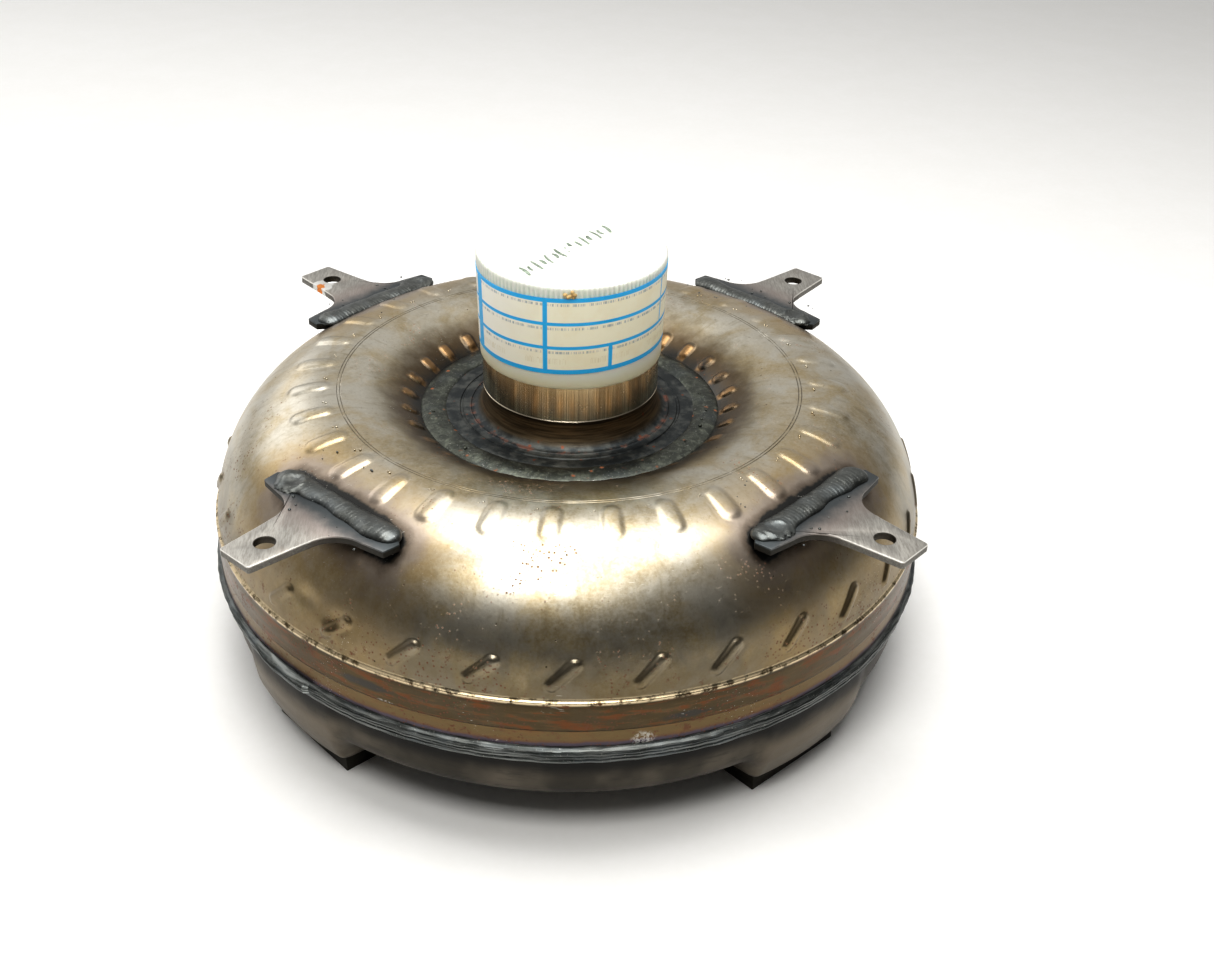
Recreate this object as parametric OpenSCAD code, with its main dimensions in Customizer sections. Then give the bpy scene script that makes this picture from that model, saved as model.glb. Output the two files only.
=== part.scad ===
// Torque converter with a lock-up clutch, four welded T lugs and a push-on hub cap.
// Millimetres. Z points from the engine side up to the hub. Z = 0 is the mounting blocks' face.

/* [Housing] */
// Diameter over the seam weld bead
overall_d = 350; // [349:1:354]
// Diameter of the impeller shell's skirt
skirt_d = 344.6; // [344:0.1:346]
// Height of the lower edge of the seam weld
seam_z = 49; // [48.5:0.1:50]
// Height of the ridge where the skirt meets the torus
ridge_z = 80.4; // [79:0.1:81]
// Radius of the circle that the torus crown follows
crown_r = 113; // [112:0.5:114]
// Height of the centre of the torus section
torus_z = 75; // [74:0.5:76]
// Half width of the torus section, outside the crown
torus_out = 58.4; // [58:0.1:58.6]
// Half width of the torus section, inside the crown
torus_in = 65; // [64.5:0.1:65.5]
// Height of the crown above the centre of the section
torus_h = 62.5; // [62:0.1:63]
// Thickness of the impeller shell
shell_t = 4; // [3.6:0.1:4.2]
// Number of impeller blades
impeller_blade_n = 31; // [25:1:35]

/* [Hub] */
// Diameter of the hub's bearing journal
hub_d = 83.6; // [83:0.1:84]
// Diameter of the hub's bore
hub_bore_d = 66; // [64:0.5:68]
// Height of the hub's end
hub_top_z = 195; // [190:1:198]
// Diameter of the hub's flange, where the shell is welded on
hub_flange_d = 132; // [131.5:0.1:132.5]
// Height of the flange's upper face
flange_z = 123.4; // [123:0.1:124]
// Height of the journal's lower edge
journal_z = 136.7; // [136:0.1:138]
// Width of the two pump drive slots in the hub's end
drive_slot_w = 10; // [8:0.5:14]

/* [Mounting lugs] */
// Diameter of the circle through the lug holes
lug_pcd = 361.2; // [360:0.1:362]
// Diameter of the lug holes
lug_hole_d = 9.1; // [8.4:0.1:10]
// Thickness of the lug plates
lug_t = 3.5; // [3:0.1:4]
// Height of the lugs' upper face
lug_z = 130.2; // [130:0.1:130.6]

/* [Front cover] */
// Radius of the cover's outer wall
cover_r = 170; // [169.8:0.1:170.2]
// Thickness of the cover
cover_t = 5; // [4.5:0.1:5]
// Diameter of the pilot boss
pilot_d = 42; // [38:0.5:46]

/* [Mounting blocks] */
// Length of a block along the rim
block_l = 55; // [50:1:58]
// Width of a block
block_w = 26; // [24:1:28]
// Thickness of a block
block_t = 10; // [9.6:0.1:10.4]
// Distance from the axis to a block's outer edge
block_edge_r = 158; // [156:0.5:159]
// Angle of the first block from the X axis
block_angle = 40; // [36:1:44]
// Tapping diameter of the M10 threads in the blocks
block_hole_d = 8.5; // [8.4:0.1:8.6]

/* [Turbine and stator] */
// Number of turbine blades
turbine_blade_n = 29; // [23:1:31]
// Number of stator vanes
stator_vane_n = 17; // [13:1:21]
// Number of rollers in the one-way clutch
roller_n = 12; // [8:1:12]
// Thickness of the blades
blade_t = 1.2; // [1:0.1:1.4]
// Teeth in the turbine hub's spline
turbine_spline_n = 28; // [20:1:32]
// Teeth in the inner race's spline
race_spline_n = 32; // [24:1:36]

/* [Lock-up clutch] */
// Number of damper springs
spring_n = 8; // [6:1:8]
// Travel of the lock-up piston before the lining touches the cover
piston_gap = 1; // [0.8:0.1:1.2]

/* [Hub cap] */
// Height of the cap's lower rim
cap_z = 154.3; // [154.2:0.1:156]
// Height of the cap's top
cap_top_z = 204.6; // [202:0.1:206]
// Outer diameter of the cap at its lower rim
cap_d = 85.6; // [85.4:0.1:86]
// Outer diameter of the cap at its top
cap_top_d = 88.2; // [87.6:0.1:89]

/* [Hidden] */
$fn = 96;
small_fn = 32;

// Housing
skirt_r = skirt_d / 2;
skirt_bore_r = skirt_r - shell_t - 0.3;
skirt_end_z = seam_z + 2;
weld_top_z = seam_z + 8.6;
hub_r = hub_d / 2;
hub_tip_r = hub_r - 0.6;
flange_r = hub_flange_d / 2;
flange_low_z = flange_z - 9.9;
shell_arc_n = 14;
weld_arc_n = 2;
ridge_t = asin((ridge_z + 1 - torus_z) / torus_h);
shell_end_t = acos((flange_r - crown_r) / torus_in);
wall_end_t = acos((flange_r - crown_r) / (torus_in - shell_t));

// Front cover
pad_rise = 1;
cover_z = block_t + pad_rise;
cover_in_z = block_t + cover_t;
cover_corner_r = 12;
cover_corner = [cover_r - cover_corner_r, 32];
cover_flat_r = 138;
cavity_flat_r = 143;
pilot_spigot_r = 15;

// Turbine, with its own section one step inside the impeller's
mid_z = 82;
turbine_out = 52;
turbine_depth = 48;
turbine_t = 2;
core_r = 115;
core_a = 24;
core_b = 22;
core_t = 1.5;
core_gap = 1;
turbine_flat_z = 52;
turbine_flat_t = -180 + asin((mid_z - turbine_flat_z) / turbine_depth);
turbine_boss_r = 47;
turbine_top_z = 56;
nose_r = 26;
nose_z = cover_in_z + 1.3;

// Lock-up clutch and damper
spring_r = 148.5;
spring_z = 31.5;
coil_r = 4.8;
wire_r = 1.4;
piston_z = cover_in_z + piston_gap + 1.4;
piston_t = 3;
piston_r = 139;
retainer_in = 7.4;
retainer_out = 8.7;
rivet_circle_r = 134.5;

// Stator and one-way clutch
stator_low_z = 59.5;
stator_high_z = 110.2;
plate_low_z = 61.1;
plate_high_z = 108.3;
plate_t = 2.6;
plate_r = 50.4;
race_bore_r = 46;
inner_race_r = 29.9;
roller_r = 3.95;
roller_circle_r = 33.9;
stator_ring_r = 60;
shroud_r = 88.5;

// Thrust needle bearings
bearing_in = 34;
bearing_out = 44;
needle_r = 1.45;
needle_n = 30;
bearing_race_t = 1;
bearing_step = 2 * needle_r + 0.1;
front_bearing_z = turbine_top_z;
rear_bearing_z = plate_high_z;

// Cap
cap_wall = 1.53;
cap_cone = (cap_top_d - cap_d) / 2 / (cap_top_z - cap_z);
label_t = 0.2;
label_glue_t = 0.06;
label_low_z = 162.2;
label_high_z = 199.6;
label_start = 174;
label_sweep = 200;

function lerp(a, b, t) = a + (b - a) * t;

// Points on an ellipse in the r-z plane, from angle t0 to t1
function arc_points(r, z, a, b, t0, t1, n) =
    [for (i = [0:n]) let (t = lerp(t0, t1, i / n)) [r + a * cos(t), z + b * sin(t)]];

// Two triangles for the four points of a grid cell
function quad(a, b, c, d) = [[a, b, c], [a, c, d]];

// Outer face of the impeller shell, from the hub weld out to the ridge
function shell_outer() = concat(
    arc_points(crown_r, torus_z, torus_in, torus_h, shell_end_t, 90, shell_arc_n),
    arc_points(crown_r, torus_z, torus_out, torus_h, 86, ridge_t, 20));

// Inner face of the impeller shell, from the skirt in to the hub flange
function shell_inner() = concat(
    arc_points(crown_r, torus_z, torus_out - shell_t, torus_h - shell_t, 0, 90, 20),
    arc_points(crown_r, torus_z, torus_in - shell_t, torus_h - shell_t, 94, wall_end_t, 12));

module impeller_shell() {
    color("#9c8f78")
    rotate_extrude()
    polygon(concat(
        shell_outer(),
        [[skirt_r - 0.3, ridge_z + 0.4], [skirt_r, ridge_z], [skirt_r, skirt_end_z]],
        [[skirt_bore_r, skirt_end_z], [skirt_bore_r, torus_z]],
        shell_inner()));
}

// Everything inside the shell's outer face, used to trim what is welded onto it
module torus_body() {
    rotate_extrude()
    polygon(concat([[flange_r, torus_z]], shell_outer(), [[skirt_r - 3, torus_z]]));
}

// Places on a blade: u runs from the rim to the hub side, v from the core to the shell.
// side is 1 above the middle plane, for the impeller, and -1 below it, for the turbine.
blade_u = 7;
blade_v = 2;
blade_edge_gap = 0.25;
blade_core_gap = 0.4;
blade_t0 = 9;
blade_t1 = 136;

function blade_section(side, t) =
    let (
        wide = cos(t) > 0,
        a = side > 0 ? (wide ? torus_out : torus_in) - shell_t : turbine_out - turbine_t,
        b = side > 0 ? torus_h - shell_t : turbine_depth - turbine_t,
        z = side > 0 ? torus_z : mid_z
    )
    [crown_r + (a - blade_edge_gap) * cos(t), z + side * (b - blade_edge_gap) * sin(t)];

function core_section(side, t) =
    [core_r + (core_a + blade_core_gap) * cos(t),
     mid_z + side * (core_gap + (core_b + blade_core_gap) * sin(t))];

// Turn of the blade about the axis: steep at the rim and gentle towards the hub
function blade_turn(t) = t < 78 ? -9 * pow((78 - t) / 64, 1.8) : 6 * (t - 78) / 52;

function blade_point(side, i, j, face) =
    let (
        t = lerp(blade_t0, blade_t1, i / blade_u),
        p = lerp(core_section(side, t), blade_section(side, t), j / blade_v),
        turn = side * blade_turn(t) + face * blade_t / 2 / p[0] * 180 / PI
    )
    [p[0] * cos(turn), p[0] * sin(turn), p[1]];

module blade(side) {
    row = blade_v + 1;
    sheet = row * (blade_u + 1);
    points = [for (face = [-1, 1], i = [0:blade_u], j = [0:blade_v]) blade_point(side, i, j, face)];
    low = [for (i = [0:blade_u - 1], j = [0:blade_v - 1])
        each quad(i * row + j, (i + 1) * row + j, (i + 1) * row + j + 1, i * row + j + 1)];
    high = [for (f = low) [f[2] + sheet, f[1] + sheet, f[0] + sheet]];
    core_rim = [for (i = [0:blade_u - 1])
        each quad(i * row, i * row + sheet, (i + 1) * row + sheet, (i + 1) * row)];
    shell_rim = [for (i = [0:blade_u - 1]) let (a = i * row + blade_v)
        each quad(a, a + row, a + row + sheet, a + sheet)];
    out_rim = [for (j = [0:blade_v - 1]) each quad(j, j + 1, j + 1 + sheet, j + sheet)];
    in_rim = [for (j = [0:blade_v - 1]) let (a = blade_u * row + j)
        each quad(a, a + sheet, a + 1 + sheet, a + 1)];
    all_faces = concat(low, high, core_rim, shell_rim, out_rim, in_rim);
    polyhedron(points, side > 0 ? all_faces : [for (f = all_faces) [f[2], f[1], f[0]]]);
}

module impeller_blades() {
    color("#8a8478")
    for (k = [0:impeller_blade_n - 1])
        rotate([0, 0, -83.4 + 360 / impeller_blade_n * k])
        blade(1);
}

module turbine_blades() {
    color("#8a8478")
    for (k = [0:turbine_blade_n - 1])
        rotate([0, 0, 360 / turbine_blade_n * k])
        blade(-1);
}

// Half of the hollow core of the fluid circuit
module core_ring(side) {
    color("#7f7a70")
    rotate_extrude()
    polygon(concat(
        arc_points(core_r, mid_z + side * core_gap, core_a, side * core_b, 4, 176, 24),
        arc_points(core_r, mid_z + side * core_gap, core_a - core_t, side * (core_b - core_t), 176, 4, 24)));
}

module impeller_core_ring() {
    core_ring(1);
}

module turbine_core_ring() {
    core_ring(-1);
}

module impeller_hub() {
    // Half axes of the neck's fillet, along the radius and along the axis
    neck = [6.7, 12.6];
    neck_root_r = hub_r + 5.7;
    neck_top_z = flange_z + neck[1];
    fillet = [for (i = [0:9])
        [neck_root_r - neck[0] * sin(i * 10), neck_top_z - neck[1] * cos(i * 10)]];
    groove_r = 51.6;
    groove_t = 0.5;
    slot_depth = 9;
    shell_edge_z = shell_outer()[0][1];
    color("#7d7467")
    difference() {
        rotate_extrude()
        polygon(concat(
            [[hub_bore_d / 2, flange_low_z], [flange_r, flange_low_z], [flange_r, shell_edge_z]],
            [[flange_r - 6, flange_z], [groove_r + 1.6, flange_z], [groove_r + 1.2, flange_z - groove_t]],
            [[groove_r + 0.4, flange_z - groove_t], [groove_r, flange_z]],
            fillet,
            [[hub_r - 0.5, neck_top_z + 0.2], [hub_r, journal_z], [hub_r, cap_z - 0.3]],
            [[hub_tip_r, cap_z], [hub_tip_r, hub_top_z - 1.5], [hub_tip_r - 1.5, hub_top_z]],
            [[hub_bore_d / 2 + 1, hub_top_z], [hub_bore_d / 2, hub_top_z - 1]]));
        translate([-hub_r - 1, -drive_slot_w / 2, hub_top_z - slot_depth])
        cube([2 * hub_r + 2, drive_slot_w, slot_depth + 1]);
    }
}

module hub_weld() {
    shell = shell_outer();
    toe = shell[weld_arc_n];
    color("#4a5058")
    rotate_extrude()
    polygon(concat(
        [[flange_r - 6, flange_z], [flange_r, shell[0][1]], shell[1], toe],
        [[toe[0] - 1.6, toe[1] + 1.3], [flange_r, flange_z + 1.8], [flange_r - 4, flange_z + 1.2]]));
}

module seam_weld() {
    r = overall_d / 2;
    color("#3f4346")
    rotate_extrude()
    polygon([
        [cover_r, seam_z], [r - 1.6, seam_z - 0.6], [r, seam_z + 0.8], [r - 0.4, seam_z + 2.8],
        [r - 1, seam_z + 4.2], [r - 0.8, seam_z + 5.4], [skirt_r + 0.9, weld_top_z - 0.6],
        [skirt_r, weld_top_z], [skirt_r, skirt_end_z], [cover_r, skirt_end_z]
    ]);
}

// Outline of a T lug, with its stem along X
lug_tip_u = 196;
lug_tip_w = 9.6;
lug_fillet = [168.5, 27.5];
lug_fillet_r = 15;

module lug_outline() {
    half = concat(
        [[lug_tip_u, lug_tip_w - 1], [lug_tip_u - 1, lug_tip_w], [171, 12]],
        arc_points(lug_fillet[0], lug_fillet[1], lug_fillet_r, lug_fillet_r, 270, 180, 8),
        [[151.4, 39.4], [143.5, 40.3], [136.5, 32]]);
    polygon(concat(half, [for (i = [len(half) - 1:-1:0]) [half[i][0], -half[i][1]]]));
}

module mounting_lug(k) {
    color("#a9a59d")
    rotate([0, 0, 45 + 90 * k])
    difference() {
        translate([0, 0, lug_z - lug_t])
        linear_extrude(lug_t)
        lug_outline();
        translate([lug_pcd / 2, 0, lug_z - lug_t - 1])
        cylinder(d = lug_hole_d, h = lug_t + 2, $fn = 48);
        torus_body();
    }
}

module lug_welds() {
    bead_r = 5;
    bead_u = 142.2;
    bead_half = 33;
    color("#4a4d4c")
    for (k = [0:3])
        rotate([0, 0, 45 + 90 * k])
        difference() {
            translate([bead_u, 0, lug_z + 0.2]) {
                rotate([90, 0, 0])
                cylinder(r = bead_r, h = 2 * bead_half, center = true, $fn = 48);
                for (end = [-1, 1])
                    translate([0, end * bead_half, 0])
                    sphere(r = bead_r, $fn = 48);
            }
            torus_body();
            translate([0, 0, lug_z - 20])
            linear_extrude(20)
            lug_outline();
        }
}

// Raised pad that carries a mounting block: a stretch of a bulged ring, cut to a rounded rectangle
module cover_pad() {
    corner = 8;
    low_x = 126;
    high_x = cover_r + 4;
    half_y = block_l / 2 + 3;
    intersection() {
        rotate_extrude()
        polygon([
            [low_x - 4, block_t], [block_edge_r + 3, block_t], [block_edge_r + 6, block_t + 3],
            [cover_r - 3, block_t + 10], [cover_r - 1, block_t + 18], [cover_r - 8, block_t + 20],
            [low_x - 4, block_t + 3]
        ]);
        linear_extrude(2 * block_t + 15)
        union() {
            translate([low_x, corner - half_y])
            square([high_x - low_x, 2 * (half_y - corner)]);
            translate([low_x + corner, -half_y])
            square([high_x - low_x - corner, 2 * half_y]);
            for (side = [-1, 1])
                translate([low_x + corner, side * (half_y - corner)])
                circle(r = corner);
        }
    }
}

module front_cover() {
    color("#6b675f")
    difference() {
        union() {
            rotate_extrude()
            polygon(concat(
                [[0, cover_z], [cover_flat_r, cover_z]],
                arc_points(cover_corner[0], cover_corner[1], cover_corner_r, cover_corner_r, -60, 0, 8),
                [[cover_r, skirt_end_z], [skirt_bore_r, skirt_end_z], [skirt_bore_r, skirt_end_z + 9]],
                [[0, skirt_end_z + 9]]));
            for (k = [0:3])
                rotate([0, 0, block_angle + 90 * k])
                cover_pad();
        }
        rotate_extrude()
        polygon(concat(
            [[0, cover_in_z], [cavity_flat_r, cover_in_z]],
            arc_points(cover_corner[0], cover_corner[1], cover_corner_r - cover_t,
                cover_corner_r - cover_t, -60, 0, 8),
            [[cover_r - cover_t, skirt_end_z + 10], [0, skirt_end_z + 10]]));
        cylinder(r = pilot_spigot_r, h = 2 * cover_in_z);
    }
}

module pilot_boss() {
    r = pilot_d / 2;
    color("#8b8a86")
    rotate_extrude()
    polygon([
        [0, 3], [r - 1, 3], [r, 4], [r, cover_z], [pilot_spigot_r, cover_z],
        [pilot_spigot_r, cover_in_z], [8, cover_in_z], [8, 9], [0, 9]
    ]);
}

module mounting_block(k) {
    x = block_edge_r - block_w;
    color("#3b3a37")
    rotate([0, 0, block_angle + 90 * k])
    difference() {
        translate([x, -block_l / 2, 0])
        cube([block_w, block_l, block_t]);
        translate([x + block_w / 2, 0, -1])
        cylinder(d = block_hole_d, h = block_t + 2, $fn = 48);
    }
}

module turbine_shell() {
    outer = arc_points(crown_r, mid_z, turbine_out, turbine_depth, 0, turbine_flat_t, 36);
    inner = arc_points(crown_r, mid_z, turbine_out - turbine_t, turbine_depth - turbine_t,
        -180 + asin((mid_z - turbine_flat_z - turbine_t) / (turbine_depth - turbine_t)), 0, 36);
    color("#9a9488")
    difference() {
        rotate_extrude()
        polygon(concat(
            outer,
            [[turbine_boss_r, turbine_flat_z], [turbine_boss_r, turbine_flat_z + turbine_t]],
            inner));
        turbine_rivet_holes();
    }
}

turbine_rivet_r = 2.5;
turbine_rivet_circle = 53.5;

module turbine_rivet_holes() {
    for (a = [0:30:330])
        rotate([0, 0, a])
        translate([turbine_rivet_circle, 0, 40])
        cylinder(r = turbine_rivet_r, h = 20, $fn = small_fn);
}

module turbine_rivets() {
    low_z = turbine_flat_z - 5;
    high_z = turbine_flat_z + turbine_t;
    color("#b0aca4")
    for (a = [0:30:330])
        rotate([0, 0, a])
        translate([turbine_rivet_circle, 0, 0])
        rotate_extrude($fn = small_fn)
        polygon([
            [0, low_z - 2], [3, low_z - 2], [4.6, low_z - 0.8], [4.6, low_z], [turbine_rivet_r, low_z],
            [turbine_rivet_r, high_z], [4.6, high_z], [4.6, high_z + 0.8], [3, high_z + 2], [0, high_z + 2]
        ]);
}

// Section of an internal spline, as a closed outline of alternate lands
function spline_outline(n, minor, major) =
    [for (i = [0:n - 1], q = [[0.04, major], [0.42, major], [0.54, minor], [0.92, minor]])
        let (a = 360 / n * (i + q[0])) q[1] * [cos(a), sin(a)]];

module turbine_hub() {
    color("#8f8d88")
    difference() {
        rotate_extrude()
        polygon([
            [8, nose_z], [nose_r - 1, nose_z], [nose_r, nose_z + 1], [nose_r, 21],
            [nose_r - 2.5, 21], [nose_r - 2.5, 24], [nose_r, 24], [nose_r, 38],
            [34, 42], [40, 47], [60, 47], [60, turbine_flat_z], [turbine_boss_r, turbine_flat_z],
            [turbine_boss_r, turbine_top_z], [8, turbine_top_z]
        ]);
        translate([0, 0, nose_z - 1])
        linear_extrude(turbine_top_z)
        polygon(spline_outline(turbine_spline_n, 17, 18.6));
        turbine_rivet_holes();
    }
}

module piston_seal_ring() {
    color("#2c2b29")
    difference() {
        translate([0, 0, 21.05])
        cylinder(r = nose_r + 0.03, h = 2.9);
        translate([0, 0, 20])
        cylinder(r = nose_r - 2.4, h = 5);
    }
}

// Ring on the back of the turbine shell, with one tang into each gap between the damper springs
module damper_drive_ring() {
    outer = arc_points(crown_r, mid_z, turbine_out, turbine_depth, 0, turbine_flat_t, 36);
    seat = [for (p = outer) if (p[0] > 138 && p[0] < 147 && p[1] < mid_z) p];
    seat_low = seat[len(seat) - 1];
    color("#77736a")
    union() {
        rotate_extrude()
        polygon(concat(seat, [[seat_low[0], 38.4], [150, 38.4], [150, 40.6]]));
        for (k = [0:spring_n - 1])
            rotate([0, 0, 360 / spring_n * (k + 0.5) - 3])
            rotate_extrude(angle = 6)
            translate([144, 27])
            square([5, 13]);
    }
}

// One arc spring, swept along its helix
module arc_spring() {
    turns = 8;
    steps = 8;
    sides = 6;
    rings = turns * steps;
    reach = 15.2;
    // Distance along the arc and angle round the coil give a point on the wire's skin
    points = [for (i = [0:rings], j = [0:sides - 1])
        let (
            turn = 360 / steps * i,
            place = lerp(-reach, reach, i / rings),
            skin = 360 / sides * j,
            out = coil_r + wire_r * cos(skin),
            r = spring_r + out * cos(turn),
            along = place + wire_r * sin(skin) / spring_r * 180 / PI
        )
        [r * cos(along), r * sin(along), spring_z + out * sin(turn)]];
    walls = [for (i = [0:rings - 1], j = [0:sides - 1]) let (a = i * sides, k = (j + 1) % sides)
        each quad(a + j, a + k, a + sides + k, a + sides + j)];
    start = [for (j = [1:sides - 2]) [0, j + 1, j]];
    last = rings * sides;
    finish = [for (j = [1:sides - 2]) [last, last + j, last + j + 1]];
    polyhedron(points, concat(walls, start, finish));
}

module damper_springs() {
    color("#5d6266")
    for (k = [0:spring_n - 1])
        rotate([0, 0, 360 / spring_n * k])
        arc_spring();
}

module spring_retainer() {
    plate_z = piston_z + piston_t;
    color("#6f6b64")
    difference() {
        union() {
            rotate_extrude()
            polygon(concat(
                arc_points(spring_r, spring_z, retainer_out, retainer_out, -165, 60, 24),
                arc_points(spring_r, spring_z, retainer_in, retainer_in, 60, -165, 24)));
            rotate_extrude()
            polygon([
                [129, plate_z], [139, plate_z], [146, 23.2], [146.4, 24.2],
                [138.4, plate_z + 1.5], [129, plate_z + 1.5]
            ]);
            for (k = [0:spring_n - 1])
                rotate([0, 0, 360 / spring_n * (k + 0.5) - 5.5])
                rotate_extrude(angle = 11)
                translate([153, 28])
                square([3.4, 6]);
        }
        retainer_rivet_holes();
    }
}

module retainer_rivet_holes() {
    for (a = [0:22.5:337.5])
        rotate([0, 0, a])
        translate([rivet_circle_r, 0, piston_z - 1])
        cylinder(r = 2, h = 8, $fn = small_fn);
}

module retainer_rivets() {
    top_z = piston_z + piston_t + 1.5;
    color("#b0aca4")
    for (a = [0:22.5:337.5])
        rotate([0, 0, a])
        translate([rivet_circle_r, 0, 0])
        rotate_extrude($fn = small_fn)
        polygon([[0, piston_z], [2, piston_z], [2, top_z], [3.4, top_z], [3, top_z + 1.2], [0, top_z + 1.6]]);
}

module lockup_piston() {
    color("#86827a")
    difference() {
        rotate_extrude()
        polygon([
            [nose_r + 0.06, piston_z], [piston_r, piston_z], [piston_r, piston_z + piston_t],
            [40, piston_z + piston_t], [31, piston_z + piston_t + 2], [30, 30], [nose_r + 0.06, 30]
        ]);
        retainer_rivet_holes();
    }
}

module friction_lining() {
    color("#5a4a35")
    translate([0, 0, piston_z - 1.4])
    difference() {
        cylinder(r = 130, h = 1.4);
        translate([0, 0, -1])
        cylinder(r = 106, h = 4);
        for (a = [0:30:330])
            rotate([0, 0, a])
            translate([100, -1, -1])
            cube([34, 2, 1.6]);
    }
}

// Aerofoil section of a stator vane: chord along X, nose at X = 0
function vane_outline(chord) = concat(
    [for (i = [0:8]) let (s = i / 8) [chord * s, 5.2 * sin(180 * sqrt(s)) * (1 - s) + 7 * s * (1 - s)]],
    [for (i = [7:-1:1]) let (s = i / 8) [chord * s, -2.6 * sin(180 * sqrt(s)) * (1 - s) + 7 * s * (1 - s)]]);

module stator_wheel() {
    chord = 30;
    shroud_low_z = 70;
    shroud_high_z = 98;
    groove_r = plate_r + 1.4;
    color("#c4c6c6")
    union() {
        rotate_extrude()
        polygon([
            [stator_ring_r, stator_low_z], [stator_ring_r, stator_high_z],
            [plate_r + 0.1, stator_high_z], [plate_r + 0.1, plate_high_z + 1.1],
            [groove_r, plate_high_z + 1.1], [groove_r, plate_high_z],
            [plate_r + 0.1, plate_high_z], [plate_r + 0.1, plate_high_z - plate_t],
            [race_bore_r, plate_high_z - plate_t], [race_bore_r, plate_low_z + plate_t],
            [plate_r + 0.1, plate_low_z + plate_t], [plate_r + 0.1, plate_low_z],
            [groove_r, plate_low_z], [groove_r, plate_low_z - 1.1],
            [plate_r + 0.1, plate_low_z - 1.1], [plate_r + 0.1, stator_low_z]
        ]);
        rotate_extrude()
        translate([shroud_r - 2.5, shroud_low_z])
        square([2.5, shroud_high_z - shroud_low_z]);
        for (k = [0:stator_vane_n - 1])
            rotate([0, 0, 360 / stator_vane_n * k])
            translate([stator_ring_r - 1, 0, shroud_high_z - 1])
            rotate([0, 90, 0])
            linear_extrude(shroud_r - stator_ring_r)
            rotate(24)
            polygon(vane_outline(chord));
    }
}

module clutch_outer_race() {
    low = plate_low_z + plate_t;
    high = plate_high_z - plate_t;
    color("#75787a")
    difference() {
        translate([0, 0, low])
        cylinder(r = race_bore_r, h = high - low);
        translate([0, 0, low - 1])
        cylinder(r = inner_race_r + 0.8, h = high - low + 2);
        for (k = [0:roller_n - 1])
            rotate([0, 0, 360 / roller_n * k - 7.5])
            rotate_extrude(angle = 22.5)
            translate([inner_race_r, low + 2])
            square([8.5, high - low - 4]);
    }
}

module clutch_inner_race() {
    color("#85888a")
    difference() {
        translate([0, 0, plate_low_z + 0.5])
        cylinder(r = inner_race_r, h = plate_high_z - plate_low_z - 1);
        translate([0, 0, plate_low_z])
        linear_extrude(plate_high_z - plate_low_z)
        polygon(spline_outline(race_spline_n, 22, 23.8));
    }
}

module clutch_rollers() {
    color("#b9bcbe")
    for (k = [0:roller_n - 1])
        rotate([0, 0, 360 / roller_n * k])
        translate([roller_circle_r, 0, 67])
        cylinder(r = roller_r, h = 36, $fn = 48);
}

// Folded leaf spring behind each roller
module roller_springs() {
    leaf = 0.15;
    folds = 5;
    pitch = 0.72;
    ends = [31.8, 37];
    color("#8b8f92")
    for (k = [0:roller_n - 1])
        rotate([0, 0, 360 / roller_n * k + 7.4])
        translate([0, 0, 70])
        linear_extrude(30)
        union()
        for (i = [0:folds - 1]) {
            a = [ends[i % 2], i * pitch];
            b = [ends[(i + 1) % 2], (i + 1) * pitch];
            polygon([a - [0, leaf], b - [0, leaf], b + [0, leaf], a + [0, leaf]]);
        }
}

module washer(inner, outer, low, high) {
    rotate_extrude()
    translate([inner, low])
    square([outer - inner, high - low]);
}

module front_side_plate() {
    color("#7c7f80")
    washer(30.8, plate_r, plate_low_z, plate_low_z + plate_t);
}

module rear_side_plate() {
    color("#7c7f80")
    washer(30.8, plate_r, plate_high_z - plate_t, plate_high_z);
}

module stator_snap_rings() {
    color("#5b5e60")
    for (z = [plate_low_z - 1.05, plate_high_z + 0.05])
        difference() {
            washer(plate_r - 2.4, plate_r + 1.3, z, z + 1);
            translate([plate_r - 6, -4, z - 1])
            cube([12, 8, 3]);
        }
}

// Flat needle cage between two hardened races, all centred on height z
module needle_cage(z) {
    color("#b08a4a")
    difference() {
        washer(bearing_in, bearing_out, z - 1, z + 1);
        for (k = [0:needle_n - 1])
            rotate([0, 0, 360 / needle_n * k])
            translate([35, -needle_r - 0.1, z - 2])
            cube([8, 2 * needle_r + 0.2, 4]);
    }
}

module needles(z) {
    color("#c3c6c8")
    for (k = [0:needle_n - 1])
        rotate([0, 0, 360 / needle_n * k])
        translate([35.1, 0, z])
        rotate([0, 90, 0])
        cylinder(r = needle_r, h = 7.8, $fn = small_fn);
}

module bearing_race(z) {
    color("#8d9092")
    washer(bearing_in, bearing_out, z, z + bearing_race_t);
}

needle_rise = bearing_race_t + bearing_step / 2;
race_rise = bearing_race_t + bearing_step;

module front_bearing_lower_race() {
    bearing_race(front_bearing_z);
}

module front_bearing_needles() {
    needles(front_bearing_z + needle_rise);
}

module front_bearing_cage() {
    needle_cage(front_bearing_z + needle_rise);
}

module front_bearing_upper_race() {
    bearing_race(plate_low_z - bearing_race_t);
}

module rear_bearing_lower_race() {
    bearing_race(rear_bearing_z);
}

module rear_bearing_needles() {
    needles(rear_bearing_z + needle_rise);
}

module rear_bearing_cage() {
    needle_cage(rear_bearing_z + needle_rise);
}

module rear_bearing_upper_race() {
    bearing_race(flange_low_z - bearing_race_t);
}

module front_thrust_washer() {
    color("#a8894e")
    washer(16, nose_r, cover_in_z, cover_in_z + 1.2);
}

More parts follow.
